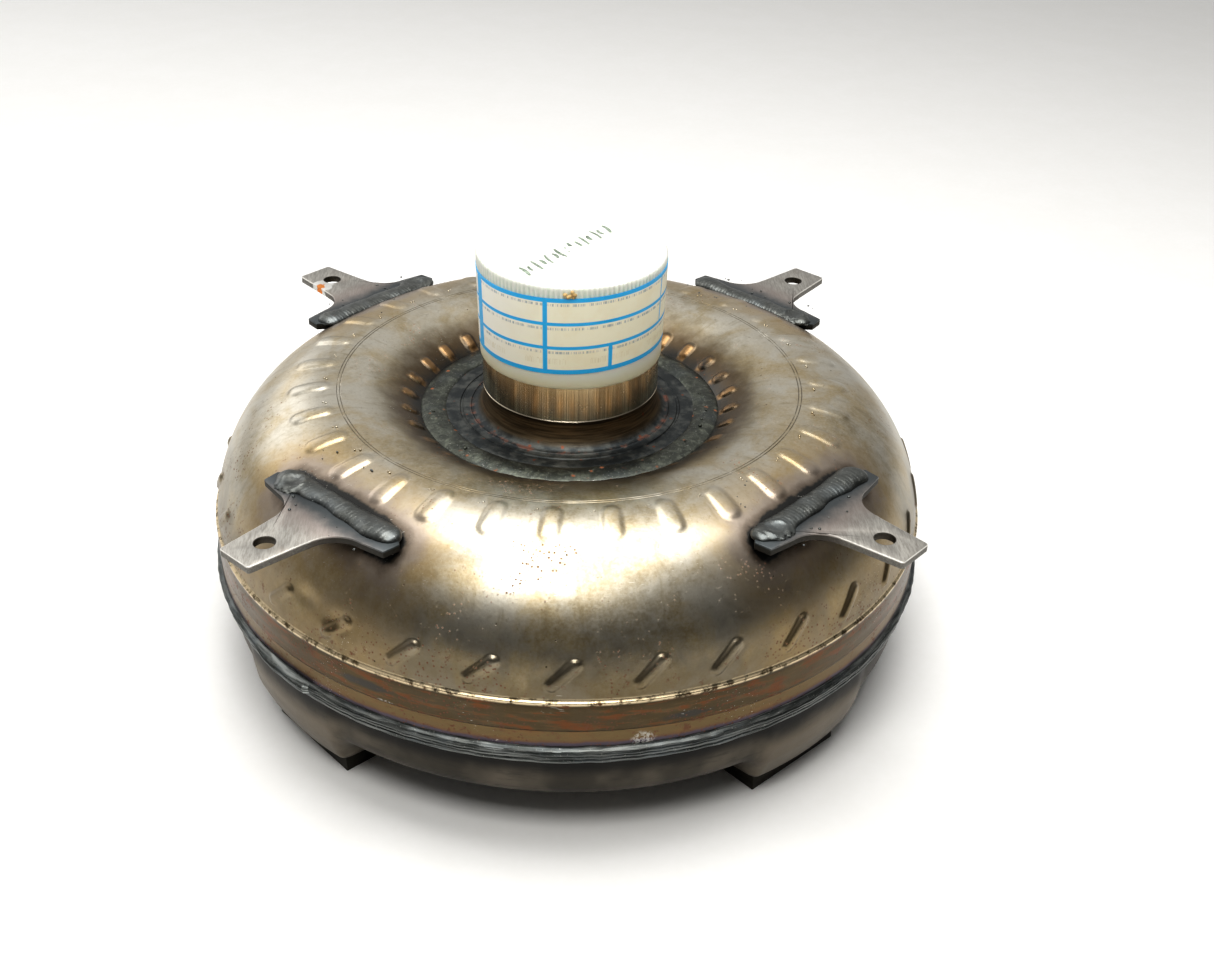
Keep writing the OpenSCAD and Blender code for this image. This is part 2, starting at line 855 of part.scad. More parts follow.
module hub_cap() {
    low = [cap_d / 2, cap_z];
    rim = [cap_top_d / 2, cap_top_z - 1.5];
    color([0.93, 0.95, 0.9])
    rotate_extrude()
    polygon([
        low, rim, [rim[0] - 0.5, cap_top_z - 0.4], [rim[0] - 1.5, cap_top_z], [0, cap_top_z],
        [0, cap_top_z - 2.2], [low[0] - cap_wall, cap_top_z - 2.2], [low[0] - cap_wall, cap_z]
    ]);
}

module cap_label() {
    low_r = cap_d / 2 + cap_cone * (label_low_z - cap_z) * 1.03 + label_glue_t;
    high_r = cap_d / 2 + cap_cone * (label_high_z - cap_z) * 1.03 + label_glue_t;
    color("#efe9cf")
    rotate([0, 0, label_start])
    rotate_extrude(angle = label_sweep)
    polygon([
        [low_r, label_low_z], [low_r + label_t, label_low_z],
        [high_r + label_t, label_high_z], [high_r, label_high_z]
    ]);
}

impeller_shell();
impeller_blades();
impeller_core_ring();
impeller_hub();
hub_weld();
seam_weld();
mounting_lug(0);  // mounting_lug_1
mounting_lug(1);  // mounting_lug_2
mounting_lug(2);  // mounting_lug_3
mounting_lug(3);  // mounting_lug_4
lug_welds();
front_cover();
pilot_boss();
mounting_block(0);  // mounting_block_1
mounting_block(1);  // mounting_block_2
mounting_block(2);  // mounting_block_3
mounting_block(3);  // mounting_block_4
turbine_shell();
turbine_blades();
turbine_core_ring();
turbine_hub();
turbine_rivets();
damper_drive_ring();
damper_springs();
spring_retainer();
retainer_rivets();
lockup_piston();
friction_lining();
piston_seal_ring();
stator_wheel();
clutch_outer_race();
clutch_inner_race();
clutch_rollers();
roller_springs();
front_side_plate();
rear_side_plate();
stator_snap_rings();
front_bearing_lower_race();
front_bearing_needles();
front_bearing_cage();
front_bearing_upper_race();
rear_bearing_lower_race();
rear_bearing_needles();
rear_bearing_cage();
rear_bearing_upper_race();
front_thrust_washer();
hub_cap();
cap_label();
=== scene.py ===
"""Looks of the torque converter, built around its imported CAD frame."""

import logging
import math
from dataclasses import dataclass
from enum import Enum
from typing import Sequence

import bmesh
import bpy
import numpy as np
from mathutils import Matrix, Vector
from mathutils.geometry import tessellate_polygon


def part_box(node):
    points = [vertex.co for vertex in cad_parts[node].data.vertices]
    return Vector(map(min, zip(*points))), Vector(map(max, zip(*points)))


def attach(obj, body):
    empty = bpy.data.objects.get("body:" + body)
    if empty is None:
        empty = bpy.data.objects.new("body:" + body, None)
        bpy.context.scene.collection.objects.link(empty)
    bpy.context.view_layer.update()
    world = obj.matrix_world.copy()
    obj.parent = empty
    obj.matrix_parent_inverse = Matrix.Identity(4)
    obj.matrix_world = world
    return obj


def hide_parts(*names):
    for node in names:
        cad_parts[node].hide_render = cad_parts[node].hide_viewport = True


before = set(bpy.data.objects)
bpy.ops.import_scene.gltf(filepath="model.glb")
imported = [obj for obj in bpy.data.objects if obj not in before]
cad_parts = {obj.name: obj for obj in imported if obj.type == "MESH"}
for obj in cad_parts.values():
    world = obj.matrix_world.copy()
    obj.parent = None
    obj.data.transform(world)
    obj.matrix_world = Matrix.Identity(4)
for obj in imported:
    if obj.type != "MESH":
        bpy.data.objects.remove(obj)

LOG = logging.getLogger("torque_converter")
MM = 0.001
TAU = 2 * math.pi
Colour = tuple[float, float, float]
Point = tuple[float, float]

BLADES = 31
FIRST_HUB_TAB = 3.3
FIRST_CROWN_TAB = -83.4
SCRIBED_R = (109.3, 110.7)
LUG_HOLE_U = 180.6
CAP_RIBS = 120
WELD_TAIL_END = -131.8
RIDGE_LINE_Z = 80.6
FLANGE_Z = 123.4
JOURNAL_Z = 136.7
CAP_MOUTH_R = 42.8


# ---------------------------------------------------------------- shader maths


class Value:
    """A shader socket that takes part in arithmetic, adding Math nodes as it goes."""

    def __init__(self, book: "NodeBook", socket: bpy.types.NodeSocket) -> None:
        """Wraps one output socket of a node in book."""
        self.book = book
        self.socket = socket

    def do(self, operation: str, *terms: "Number") -> "Value":
        """Adds one Math node on the terms and returns its result."""
        return self.book.node("ShaderNodeMath", {"operation": operation}, dict(enumerate(terms)))

    def __add__(self, other: "Number") -> "Value":
        """self + other."""
        return self.do("ADD", self, other)

    def __radd__(self, other: "Number") -> "Value":
        """other + self."""
        return self.do("ADD", other, self)

    def __sub__(self, other: "Number") -> "Value":
        """self - other."""
        return self.do("SUBTRACT", self, other)

    def __rsub__(self, other: "Number") -> "Value":
        """other - self."""
        return self.do("SUBTRACT", other, self)

    def __mul__(self, other: "Number") -> "Value":
        """self * other."""
        return self.do("MULTIPLY", self, other)

    def __rmul__(self, other: "Number") -> "Value":
        """other * self."""
        return self.do("MULTIPLY", other, self)

    def __truediv__(self, other: "Number") -> "Value":
        """self / other."""
        return self.do("DIVIDE", self, other)

    def __mod__(self, other: "Number") -> "Value":
        """self modulo other, never negative."""
        return self.do("FLOORED_MODULO", self, other)

    def __abs__(self) -> "Value":
        """Distance of self from zero."""
        return self.do("ABSOLUTE", self)

    def root(self) -> "Value":
        """Square root of self."""
        return self.do("SQRT", self)

    def sine(self) -> "Value":
        """Sine of self, in radians."""
        return self.do("SINE", self)

    def cosine(self) -> "Value":
        """Cosine of self, in radians."""
        return self.do("COSINE", self)

    def above(self, floor: "Number") -> "Value":
        """The larger of self and floor."""
        return self.do("MAXIMUM", self, floor)

    def below(self, ceiling: "Number") -> "Value":
        """The smaller of self and ceiling."""
        return self.do("MINIMUM", self, ceiling)

    def ease(self, start: float, end: float) -> "Value":
        """0 at start and 1 at end, with a smooth step between them; start may be the larger."""
        return self.book.node(
            "ShaderNodeMapRange", {"interpolation_type": "SMOOTHSTEP"}, {0: self, 1: start, 2: end}
        )


Number = float | Value


@dataclass(frozen=True)
class Place:
    """Where a shaded point is, in millimetres and degrees about the axis."""

    x: Value
    y: Value
    z: Value
    radius: Value
    angle: Value
    vector: Value

    def along(self, degrees: float) -> Value:
        """Distance round the axis from the given angle, in millimetres."""
        turn = (self.angle - degrees + 180.0) % 360.0 - 180.0
        return turn * self.radius * math.radians(1)


class NodeBook:
    """Writes the nodes of one material or world."""

    def __init__(self, tree: bpy.types.NodeTree) -> None:
        """Empties the node tree and keeps it."""
        tree.nodes.clear()
        self.tree = tree

    @classmethod
    def material(cls, name: str) -> tuple[bpy.types.Material, "NodeBook"]:
        """Makes an empty material and its book.

        Args:
            name: The material's name.

        Returns:
            The material and the book that writes its nodes.
        """
        made = bpy.data.materials.new(name)
        made.use_nodes = True
        return made, cls(made.node_tree)

    def node(
        self,
        kind: str,
        settings: dict[str, object] | None = None,
        inputs: dict[int | str, object] | None = None,
        output: int | str = 0,
    ) -> Value:
        """Adds any node.

        Args:
            kind: Blender's type name of the node.
            settings: Properties set before the sockets.
            inputs: Values or links of the input sockets, by name or number.
            output: The output socket to hand back.

        Returns:
            The chosen output, ready for arithmetic.
        """
        made = self.tree.nodes.new(kind)
        for key, setting in (settings or {}).items():
            setattr(made, key, setting)
        for key, given in (inputs or {}).items():
            if isinstance(given, Value):
                self.tree.links.new(given.socket, made.inputs[key])
            elif isinstance(given, tuple) and made.inputs[key].type == "RGBA":
                made.inputs[key].default_value = (*given[:3], 1.0)
            else:
                made.inputs[key].default_value = given
        return Value(self, made.outputs[output] if made.outputs else None)

    def place(self) -> Place:
        """Reads where the shaded point is.

        Returns:
            Its coordinates in the part's own frame.
        """
        raw = self.node("ShaderNodeTexCoord", output="Object")
        vector = self.node("ShaderNodeVectorMath", {"operation": "SCALE"}, {0: raw, "Scale": 1000.0})
        x, y, z = (self.node("ShaderNodeSeparateXYZ", None, {0: vector}, axis) for axis in "XYZ")
        angle = x.do("ARCTAN2", y, x) * (180 / math.pi)
        return Place(x, y, z, (x * x + y * y).root(), angle, vector)

    def vector(self, x: Number, y: Number, z: Number) -> Value:
        """Puts three numbers together as a vector."""
        return self.node("ShaderNodeCombineXYZ", None, {0: x, 1: y, 2: z})

    def noise(
        self, where: Value, size: float, detail: float = 2.0, rough: float = 0.55, bend: float = 0.0
    ) -> Value:
        """Cloudy noise from about 0.25 to 0.75.

        Args:
            where: Coordinates in millimetres.
            size: Size of one blob, in millimetres.
            detail: Number of finer layers.
            rough: Strength of the finer layers.
            bend: How much the blobs are warped.

        Returns:
            The noise as a number.
        """
        sockets = {
            "Vector": where, "Scale": 1 / size, "Detail": detail, "Roughness": rough, "Distortion": bend
        }
        return self.node("ShaderNodeTexNoise", None, sockets)

    def cells(self, where: Value, size: float) -> Value:
        """Distance from the middle of the nearest of many scattered spots, in units of their size."""
        return self.node("ShaderNodeTexVoronoi", None, {"Vector": where, "Scale": 1 / size})

    def mix(self, share: Number, first: Value | Colour, second: Value | Colour) -> Value:
        """Goes from the first colour to the second as share goes from 0 to 1."""
        return self.node("ShaderNodeMix", {"data_type": "RGBA"}, {0: share, 6: first, 7: second}, 2)

    def bump(self, height: Value, depth: float) -> Value:
        """Turns a height from 0 to 1 into a normal, with a relief of that depth in millimetres."""
        sockets = {"Height": height, "Distance": depth * MM, "Strength": 1.0}
        return self.node("ShaderNodeBump", None, sockets)

    def close(self, **sockets: object) -> None:
        """Ends a material with a Principled shader; base_color stands for "Base Color" and so on."""
        named = {key.replace("_", " ").title().replace("Ior", "IOR"): given for key, given in sockets.items()}
        shader = self.node("ShaderNodeBsdfPrincipled", None, named)
        self.node("ShaderNodeOutputMaterial", None, {0: shader})


# ---------------------------------------------------------------- finishes


@dataclass(frozen=True)
class LugHeat:
    """Where the four lug beads lie, for the scorched steel round them."""

    bead_u: float = 142.2
    half_length: float = 33.0

    def distance(self, at: Place) -> Value:
        """Measures how far a place is from the nearest lug bead's middle line, seen from above.

        Args:
            at: The shaded place.

        Returns:
            The distance in millimetres.
        """
        turn = (at.angle % 90.0 - 45.0) * math.radians(1)
        across = at.radius * turn.cosine() - self.bead_u
        beyond = (abs(at.radius * turn.sine()) - self.half_length).above(0.0)
        return (across * across + beyond * beyond).root()


@dataclass(frozen=True)
class Smear:
    """A soft-edged mark on a round wall: its middle, reach and height."""

    degrees: float
    z: float
    reach: float
    height: float

    def mask(self, at: Place, ragged: Value) -> Value:
        """Marks the smear with a ragged edge.

        Args:
            at: The shaded place.
            ragged: Noise that makes the edge uneven.

        Returns:
            1 inside the mark and 0 outside.
        """
        across = at.along(self.degrees) / self.reach
        up = (at.z - self.z) / self.height
        return ((across * across + up * up).root() + (ragged - 0.5) * 1.6).ease(1.1, 0.5)


@dataclass(frozen=True)
class ShellSteel:
    """Bare pressed steel with straw and oil stains, rust freckles, welding heat, painted shade low down and a
    painted highlight on the ridge.
    """

    bare: Colour = (0.52, 0.49, 0.42)
    straw: Colour = (0.40, 0.31, 0.165)
    olive: Colour = (0.22, 0.175, 0.095)
    mauve: Colour = (0.34, 0.29, 0.27)
    scorch: Colour = (0.050, 0.050, 0.048)
    rust: Colour = (0.15, 0.050, 0.020)
    blue: Colour = (0.05, 0.065, 0.12)
    heat: LugHeat = LugHeat()
    smears: tuple[Smear, ...] = (Smear(-74.5, 69.5, 13, 2.2), Smear(-121, 72, 16, 2.4))
    scuffs: tuple[Smear, ...] = (Smear(-81, 60.5, 5.5, 4.0), Smear(-118, 66.5, 4.5, 0.8))

    def stains(self, book: NodeBook, at: Place, cloud: Value, grain: Value) -> Value:
        """Colour of the steel with its oil and straw stains, and painted shade that darkens it towards the
        bottom.

        Args:
            book: The material's nodes.
            at: The shaded place.
            cloud: Noise about as large as a hand.
            grain: Noise of a millimetre or two.

        Returns:
            The colour before heat and rust.
        """
        patch = book.noise(at.vector, 26, 4, 0.6, 0.6)
        mottle = book.noise(at.vector, 6, 3, 0.65)
        colour = book.mix(patch.ease(0.38, 0.68) * 0.85, self.bare, self.straw)
        colour = book.mix((cloud + (mottle - 0.5) * 0.5).ease(0.43, 0.80) * 0.75, colour, self.olive)
        colour = book.mix(grain.ease(0.3, 0.75) * 0.20, colour, (0.70, 0.67, 0.58))
        # Painted shade with an oil-varnish tone: darker towards the bottom, standing in for the dim front
        # reflected low on the shell.
        low = (at.z + (patch - 0.5) * 40).ease(114, 88)
        colour = book.mix(low * 0.80, colour, (0.105, 0.080, 0.043))
        speck = book.noise(at.vector, 2.0, 3, 0.7)
        colour = book.mix(speck.ease(0.58, 0.74) * 0.35 * (1 - low * 0.7), colour, (0.15, 0.105, 0.05))
        streak = book.noise(book.vector(at.angle * 0.9, at.radius * 0.08, at.z * 0.08), 1.6, 3, 0.6)
        colour = book.mix(streak.ease(0.55, 0.75) * 0.35, colour, self.olive)
        return colour

    def heated(self, book: NodeBook, at: Place, colour: Value, ragged: Value) -> Value:
        """Adds the tints that the hub weld, the lug beads and the seam weld left.

        Args:
            book: The material's nodes.
            at: The shaded place.
            colour: The colour so far.
            ragged: Noise that makes the edges uneven.

        Returns:
            The colour with its heat tints.
        """
        wander = (ragged - 0.5) * 16.0
        lug = self.heat.distance(at) + wander
        colour = book.mix(lug.ease(36, 16) * 0.45, colour, (0.42, 0.29, 0.13))
        colour = book.mix(lug.ease(19, 10) * 0.6, colour, self.mauve)
        near = self.heat.distance(at) + (ragged - 0.5) * 7.0
        colour = book.mix(near.ease(11, 7.0) * 0.7, colour, (0.13, 0.10, 0.075))
        colour = book.mix(near.ease(7.6, 5.8), colour, self.scorch)
        bowl = at.radius + wander * 0.8
        inside = at.z.ease(100, 115)
        colour = book.mix(bowl.ease(101, 86) * inside * 0.55, colour, self.olive)
        colour = book.mix(bowl.ease(94, 79) * inside * 0.9, colour, (0.085, 0.058, 0.034))
        colour = book.mix(bowl.ease(80, 70) * inside, colour, self.scorch)
        pitch = 360 / BLADES
        tab = abs((at.angle - FIRST_HUB_TAB + pitch / 2) % pitch - pitch / 2) * at.radius * math.radians(1)
        tab = tab.ease(3.0, 1.6) * at.radius.ease(71.6, 73.2) * at.radius.ease(81.5, 79) * inside
        colour = book.mix(tab * ragged.ease(0.34, 0.6) * 0.8, colour, (0.34, 0.205, 0.095))
        seam = at.z + wander * 0.16
        colour = book.mix(seam.ease(82, 79.5) * 0.80, colour, (0.055, 0.038, 0.020))
        sheet = book.noise(book.vector(at.angle * 0.22, at.z * 0.55, 0.0), 1.6, 4, 0.65)
        skirt = at.z.ease(81, 79.8)
        colour = book.mix(skirt * sheet.ease(0.46, 0.68) * 0.65, colour, (0.14, 0.105, 0.060))
        colour = book.mix(skirt * at.z.ease(76.5, 79.5) * 0.7, colour, (0.035, 0.026, 0.015))
        colour = book.mix(skirt * (sheet + ragged * 0.5).ease(0.74, 0.90) * 0.7, colour, (0.15, 0.052, 0.022))
        colour = book.mix(seam.ease(66.5, 65) * 0.7, colour, (0.17, 0.12, 0.06))
        colour = book.mix(seam.ease(61.5, 59.5) * 0.8, colour, (0.13, 0.075, 0.05))
        colour = book.mix(seam.ease(60.2, 58.8) * 0.55, colour, self.blue)
        return book.mix(seam.ease(58.4, 57.4), colour, self.scorch)

    def material(self) -> bpy.types.Material:
        """Builds the whole material.

        Returns:
            The material.
        """
        made, book = NodeBook.material("shell_steel_look")
        at = book.place()
        cloud = book.noise(at.vector, 75, 3, 0.5)
        ragged = book.noise(at.vector, 11, 4, 0.65)
        grain = book.noise(at.vector, 1.3, 2, 0.6)
        colour = self.heated(book, at, self.stains(book, at, cloud, grain), ragged)
        dark = self.smears[0].mask(at, ragged).above(self.smears[1].mask(at, ragged))
        colour = book.mix(dark * 0.8, colour, self.scorch)
        pale = self.scuffs[0].mask(at, ragged).above(self.scuffs[1].mask(at, ragged))
        pale = pale * grain.ease(0.42, 0.6)
        colour = book.mix(pale * 0.45, colour, (0.62, 0.62, 0.58))
        ridge = abs(at.z - RIDGE_LINE_Z).ease(1.9, 0.5) * at.radius.ease(170.2, 171.4)
        freckle = book.cells(at.vector, 2.0).ease(0.32, 0.12)
        where = book.noise(at.vector, 34, 3, 0.7)
        low_part = at.z.ease(110, 80)
        share = (where + (ragged - 0.5) * 0.4 + low_part * 0.10 + 0.01).ease(0.54, 0.70)
        rust = freckle * (1 - ridge) * share
        bloom = (book.noise(at.vector, 7, 4, 0.8) + low_part * 0.075).ease(0.66, 0.76) * (1 - ridge * 0.6)
        rust = (rust + bloom * 0.75).below(1.0)
        colour = book.mix(rust * 0.85, colour, self.rust)
        # Wear and painted highlight: a pale golden band along the ridge, partly rubbed steel and partly the
        # light caught on its rounded lip.
        wear_and_highlight = ridge * book.noise(at.vector, 5, 3, 0.7).ease(0.36, 0.52) * (1 - rust)
        colour = book.mix(wear_and_highlight * 0.85, colour, (0.80, 0.66, 0.44))
        pits = book.cells(at.vector, 9.5).ease(0.065, 0.03) * ragged.ease(0.45, 0.55) * (1 - ridge)
        circle = abs(at.radius - SCRIBED_R[0]).below(abs(at.radius - SCRIBED_R[1]))
        circle = circle.ease(0.42, 0.12) * at.z.ease(130, 132)
        colour = book.mix(circle * ragged.ease(0.30, 0.55) * 0.75, colour, (0.09, 0.075, 0.05))
        colour = book.mix(pits * 0.85, colour, (0.05, 0.04, 0.03))
        scratch = book.noise(book.vector(at.x * 0.05, at.y, at.z), 0.5, 1).ease(0.72, 0.75)
        scratch = scratch * book.noise(at.vector, 40, 2).ease(0.56, 0.62)
        colour = book.mix(scratch * 0.5, colour, (0.85, 0.83, 0.76))
        shine = 0.24 + cloud * 0.10 + ragged * 0.06 + grain * 0.05 + rust * 0.35 + pits * 0.2
        relief = grain * 0.3 + ragged * 0.8 + rust * 0.5 - pits * 0.8
        book.close(
            base_color=colour, metallic=1 - rust * 0.75, roughness=shine.below(0.9),
            normal=book.bump(relief, 0.07),
        )
        return made


@dataclass(frozen=True)
class HubSteel:
    """Ground journal with a painted highlight on its lower chamfer, brown neck and a flange darkened by the
    weld.
    """

    journal_z: float
    flange_z: float

    def material(self) -> bpy.types.Material:
        """Builds the material from the hub's own heights.

        Returns:
            The material.
        """
        made, book = NodeBook.material("hub_steel_look")
        at = book.place()
        grain = book.noise(at.vector, 1.1, 3, 0.6)
        ragged = book.noise(at.vector, 7, 4, 0.65)
        lines = book.noise(book.vector(at.angle * 1.4, 0.0, at.z * 0.012), 1.0, 3, 0.7)
        broad = book.noise(book.vector(at.angle * 0.12, 0.0, at.z * 0.01), 1.0, 2, 0.5)
        ground = book.mix(lines.ease(0.35, 0.68), (0.30, 0.272, 0.21), (0.76, 0.71, 0.585))
        ground = book.mix(broad.ease(0.35, 0.65) * 0.6, ground, (0.22, 0.18, 0.13))
        turned = book.noise(book.vector(at.angle * 0.03, 0.0, at.z * 0.9), 1.0, 3, 0.6)
        rough = book.mix(turned.ease(0.35, 0.65), (0.080, 0.060, 0.037), (0.18, 0.135, 0.082))
        flange = book.mix(ragged.ease(0.4, 0.65), (0.038, 0.043, 0.045), (0.10, 0.105, 0.10))
        above = at.z.ease(self.flange_z + 0.6, self.flange_z + 4)
        colour = book.mix(above, flange, rough)
        edge = abs(at.radius - 47.3).ease(1.7, 0.5) * at.z.ease(self.flange_z + 3, self.flange_z + 1)
        red = edge * ragged.ease(0.42, 0.62) * broad.ease(0.40, 0.56) * 0.75
        colour = book.mix(red, colour, (0.20, 0.065, 0.035))
        freckle = book.cells(at.vector, 5).ease(0.22, 0.1) * ragged.ease(0.5, 0.58)
        colour = book.mix(freckle * 0.7, colour, (0.22, 0.06, 0.025))
        band = at.z.ease(self.journal_z - 0.6, self.journal_z - 0.2)
        colour = book.mix(band, colour, ground)
        # Painted highlight: a bright line on the small chamfer at the journal's lower edge.
        lip_glint = abs(at.z - self.journal_z - 0.15).ease(0.42, 0.25)
        colour = book.mix(lip_glint * 0.9, colour, (0.95, 0.84, 0.66))
        shine = 0.36 + ragged * 0.16 + grain * 0.08 + red * 0.2 - band * 0.26 + lines * 0.04
        relief = grain * 0.5 * (1 - band) + ragged * (1 - band)
        book.close(
            base_color=colour, metallic=1 - red * 0.6, roughness=shine, normal=book.bump(relief, 0.10)
        )
        return made


@dataclass(frozen=True)
class WeldSteel:
    """Dark weld metal with a dull sheen, slag and bright spatter; on the seam, a painted highlight outlines
    the tail of the last pass.
    """

    name: str
    dark: Colour = (0.10, 0.105, 0.10)
    light: Colour = (0.36, 0.365, 0.345)
    tint: Colour = (0.17, 0.19, 0.20)
    rust: Colour = (0.26, 0.085, 0.03)
    rust_share: float = 0.5
    roughness: float = 0.30
    lines: bool = False
    relief: float = 0.10
    spread: float = 0.34
    low_z: float = 0.0
    height: float = 1.0

    def material(self) -> bpy.types.Material:
        """Builds the material.

        Returns:
            The material.
        """
        made, book = NodeBook.material(self.name)
        at = book.place()
        ragged = book.noise(at.vector, 5, 4, 0.7, 0.4)
        cloud = book.noise(at.vector, 22, 3, 0.6)
        grain = book.noise(at.vector, 0.9, 2, 0.6)
        if self.lines:
            ragged = book.noise(book.vector(at.angle * 0.16, at.z * 1.5, at.radius * 0.5), 1.3, 4, 0.6)
        colour = book.mix(ragged.ease(0.38, 0.38 + self.spread), self.dark, self.light)
        colour = book.mix(cloud.ease(0.45, 0.66) * 0.45, colour, self.tint)
        if self.lines:
            back = (WELD_TAIL_END - at.angle) % 360.0
            share = (at.z - self.low_z) / self.height
            across = abs(share - 0.60 - back * 0.01)
            # Painted highlight: a bright outline along the edges and the end of the tail of the last pass.
            rim = abs(across - 0.26).ease(0.035, 0.01) * back.ease(15, 9) * 0.6
            lip_glint = abs(back - 0.3).ease(0.55, 0.25) * across.ease(0.27, 0.24)
            colour = book.mix(rim.above(lip_glint) * ragged.ease(0.35, 0.6) * 0.6, colour, (0.66, 0.70, 0.68))
        colour = book.mix(grain.ease(0.62, 0.72) * 0.4, colour, (0.5, 0.5, 0.47))
        spots = book.cells(at.vector, 5.5).ease(0.24, 0.12)
        least = 0.72 - self.rust_share * 0.3
        rust = spots * book.noise(at.vector, 18, 3, 0.7).ease(least, least + 0.06)
        colour = book.mix(rust * 0.9, colour, self.rust)
        shine = self.roughness + ragged * 0.18 + grain * 0.10 + rust * 0.3
        relief = ragged + grain * 0.35
        book.close(
            base_color=colour, metallic=1 - rust * 0.7, roughness=shine, normal=book.bump(relief, self.relief)
        )
        return made


@dataclass(frozen=True)
class LugSteel:
    """Ground sheet steel, bright on the stem with a painted highlight along its top edge, and scorched by the
    bead on the bar.
    """

    heat: LugHeat = LugHeat()

    def material(self) -> bpy.types.Material:
        """Builds the material.

        Returns:
            The material.
        """
        made, book = NodeBook.material("lug_steel_look")
        at = book.place()
        ragged = book.noise(at.vector, 9, 4, 0.65)
        grain = book.noise(at.vector, 0.8, 3, 0.6)
        brush = book.noise(book.vector(at.x * 0.9, at.y * 0.12, at.z * 0.9), 0.7, 3, 0.7)
        turn = (at.angle % 90.0 - 45.0) * math.radians(1)
        out = at.radius * turn.cosine() + (ragged - 0.5) * 8
        colour = book.mix(brush.ease(0.3, 0.7), (0.29, 0.275, 0.25), (0.47, 0.455, 0.42))
        colour = book.mix(book.noise(at.vector, 14, 3).ease(0.48, 0.7) * 0.45, colour, (0.33, 0.29, 0.25))
        colour = book.mix(out.ease(172, 158) * 0.7, colour, (0.30, 0.255, 0.235))
        colour = book.mix(out.ease(160, 149), colour, (0.085, 0.095, 0.10))
        colour = book.mix(out.ease(150, 141) * ragged.ease(0.4, 0.6) * 0.6, colour, (0.05, 0.06, 0.06))
        side = at.z.ease(129.7, 129.2)
        hole_u = at.radius * turn.cosine() - LUG_HOLE_U
        hole_v = at.radius * turn.sine()
        hole = (hole_u * hole_u + hole_v * hole_v).root().ease(4.95, 4.7)
        stem = out.ease(158, 172)
        colour = book.mix(side * (0.92 - stem * 0.45), colour, (0.045, 0.042, 0.036))
        # Painted highlight: a bright line along the stem's top edge.
        rim = abs(at.z - 129.95).ease(0.26, 0.12) * stem
        colour = book.mix(rim * 0.9, colour, (0.95, 0.93, 0.88))
        colour = book.mix(hole * 0.9, colour, (0.05, 0.042, 0.032))
        paint_x = at.x + 133.0
        paint_y = at.y - 119.0
        paint = (paint_x * paint_x + paint_y * paint_y).root() + (ragged - 0.5) * 9
        colour = book.mix(paint.ease(7.5, 6.0) * 0.8, colour, (0.86, 0.86, 0.83))
        colour = book.mix(paint.ease(3.2, 2.4), colour, (0.72, 0.26, 0.06))
        shine = 0.33 + ragged * 0.1 + grain * 0.08 + side * 0.2
        book.close(
            base_color=colour, metallic=0.97, roughness=shine,
            normal=book.bump(brush * 0.5 + grain * 0.5 + ragged, 0.05),
        )
        return made


@dataclass(frozen=True)
class CoverSteel:
    """Dull grey-brown pressed steel of the engine-side cover, paler on its pads, with painted shade under the
    seam weld.
    """

    first_pad: float = 40.0

    def material(self) -> bpy.types.Material:
        """Builds the material.

        Returns:
            The material.
        """
        made, book = NodeBook.material("cover_steel_look")
        at = book.place()
        ragged = book.noise(at.vector, 12, 4, 0.65)
        cloud = book.noise(at.vector, 40, 3, 0.6)
        grain = book.noise(at.vector, 1.2, 2, 0.6)
        streak = book.noise(book.vector(at.angle * 0.25, at.z * 0.5, at.radius * 0.1), 1.4, 3, 0.7)
        colour = book.mix(cloud.ease(0.4, 0.68), (0.055, 0.050, 0.042), (0.12, 0.105, 0.085))
        colour = book.mix(streak.ease(0.5, 0.7) * 0.5, colour, (0.045, 0.042, 0.038))
        turn = ((at.angle - self.first_pad + 45.0) % 90.0 - 45.0) * math.radians(1)
        aside = abs(at.radius * turn.sine()) + (ragged - 0.5) * 14
        pad = aside.ease(40, 28) * at.radius.ease(128, 138) * at.z.ease(40, 30)
        colour = book.mix(pad * 0.8, colour, (0.18, 0.152, 0.115))
        # Painted shade: near black from z 36 up to the seam weld, standing in for the shadow under the weld's
        # overhang.
        colour = book.mix(at.z.ease(36, 44) * 0.9, colour, (0.020, 0.020, 0.020))
        rust = book.noise(at.vector, 7, 4, 0.75).ease(0.66, 0.76) * at.z.ease(34, 22)
        colour = book.mix(rust * 0.6, colour, (0.17, 0.075, 0.04))
        shine = 0.40 + ragged * 0.14 + grain * 0.08 + rust * 0.2 - pad * 0.10
        book.close(
            base_color=colour, metallic=1 - rust * 0.6, roughness=shine,
            normal=book.bump(grain * 0.4 + ragged, 0.08),
        )
        return made


@dataclass(frozen=True)
class PlainMetal:
    """A metal that is one kind all over, with its own grain, stain and tool marks."""

    name: str
    base: Colour
    stain: Colour
    roughness: float = 0.35
    grain: float = 1.0
    turned: float = 0.0
    metallic: float = 1.0
    relief: float = 0.05

    def material(self) -> bpy.types.Material:
        """Builds the material.

        Returns:
            The material.
        """
        made, book = NodeBook.material(self.name)
        at = book.place()
        cloud = book.noise(at.vector, 17, 4, 0.6, 0.4)
        grain = book.noise(at.vector, self.grain, 3, 0.6)
        colour = book.mix(cloud.ease(0.4, 0.72) * 0.75, self.base, self.stain)
        colour = book.mix(grain.ease(0.6, 0.75) * 0.3, colour, tuple(min(1.0, c * 1.5) for c in self.base))
        height = grain + cloud * 0.4
        shine = self.roughness + cloud * 0.12 + grain * 0.08
        if self.turned:
            rings = book.noise(book.vector(at.radius * 2.2, 0.0, at.z * 2.2), 1.0, 2, 0.6)
            height = height + rings * self.turned
            shine = shine + rings * 0.06
        book.close(
            base_color=colour, metallic=self.metallic, roughness=shine,
            normal=book.bump(height, self.relief),
        )
        return made


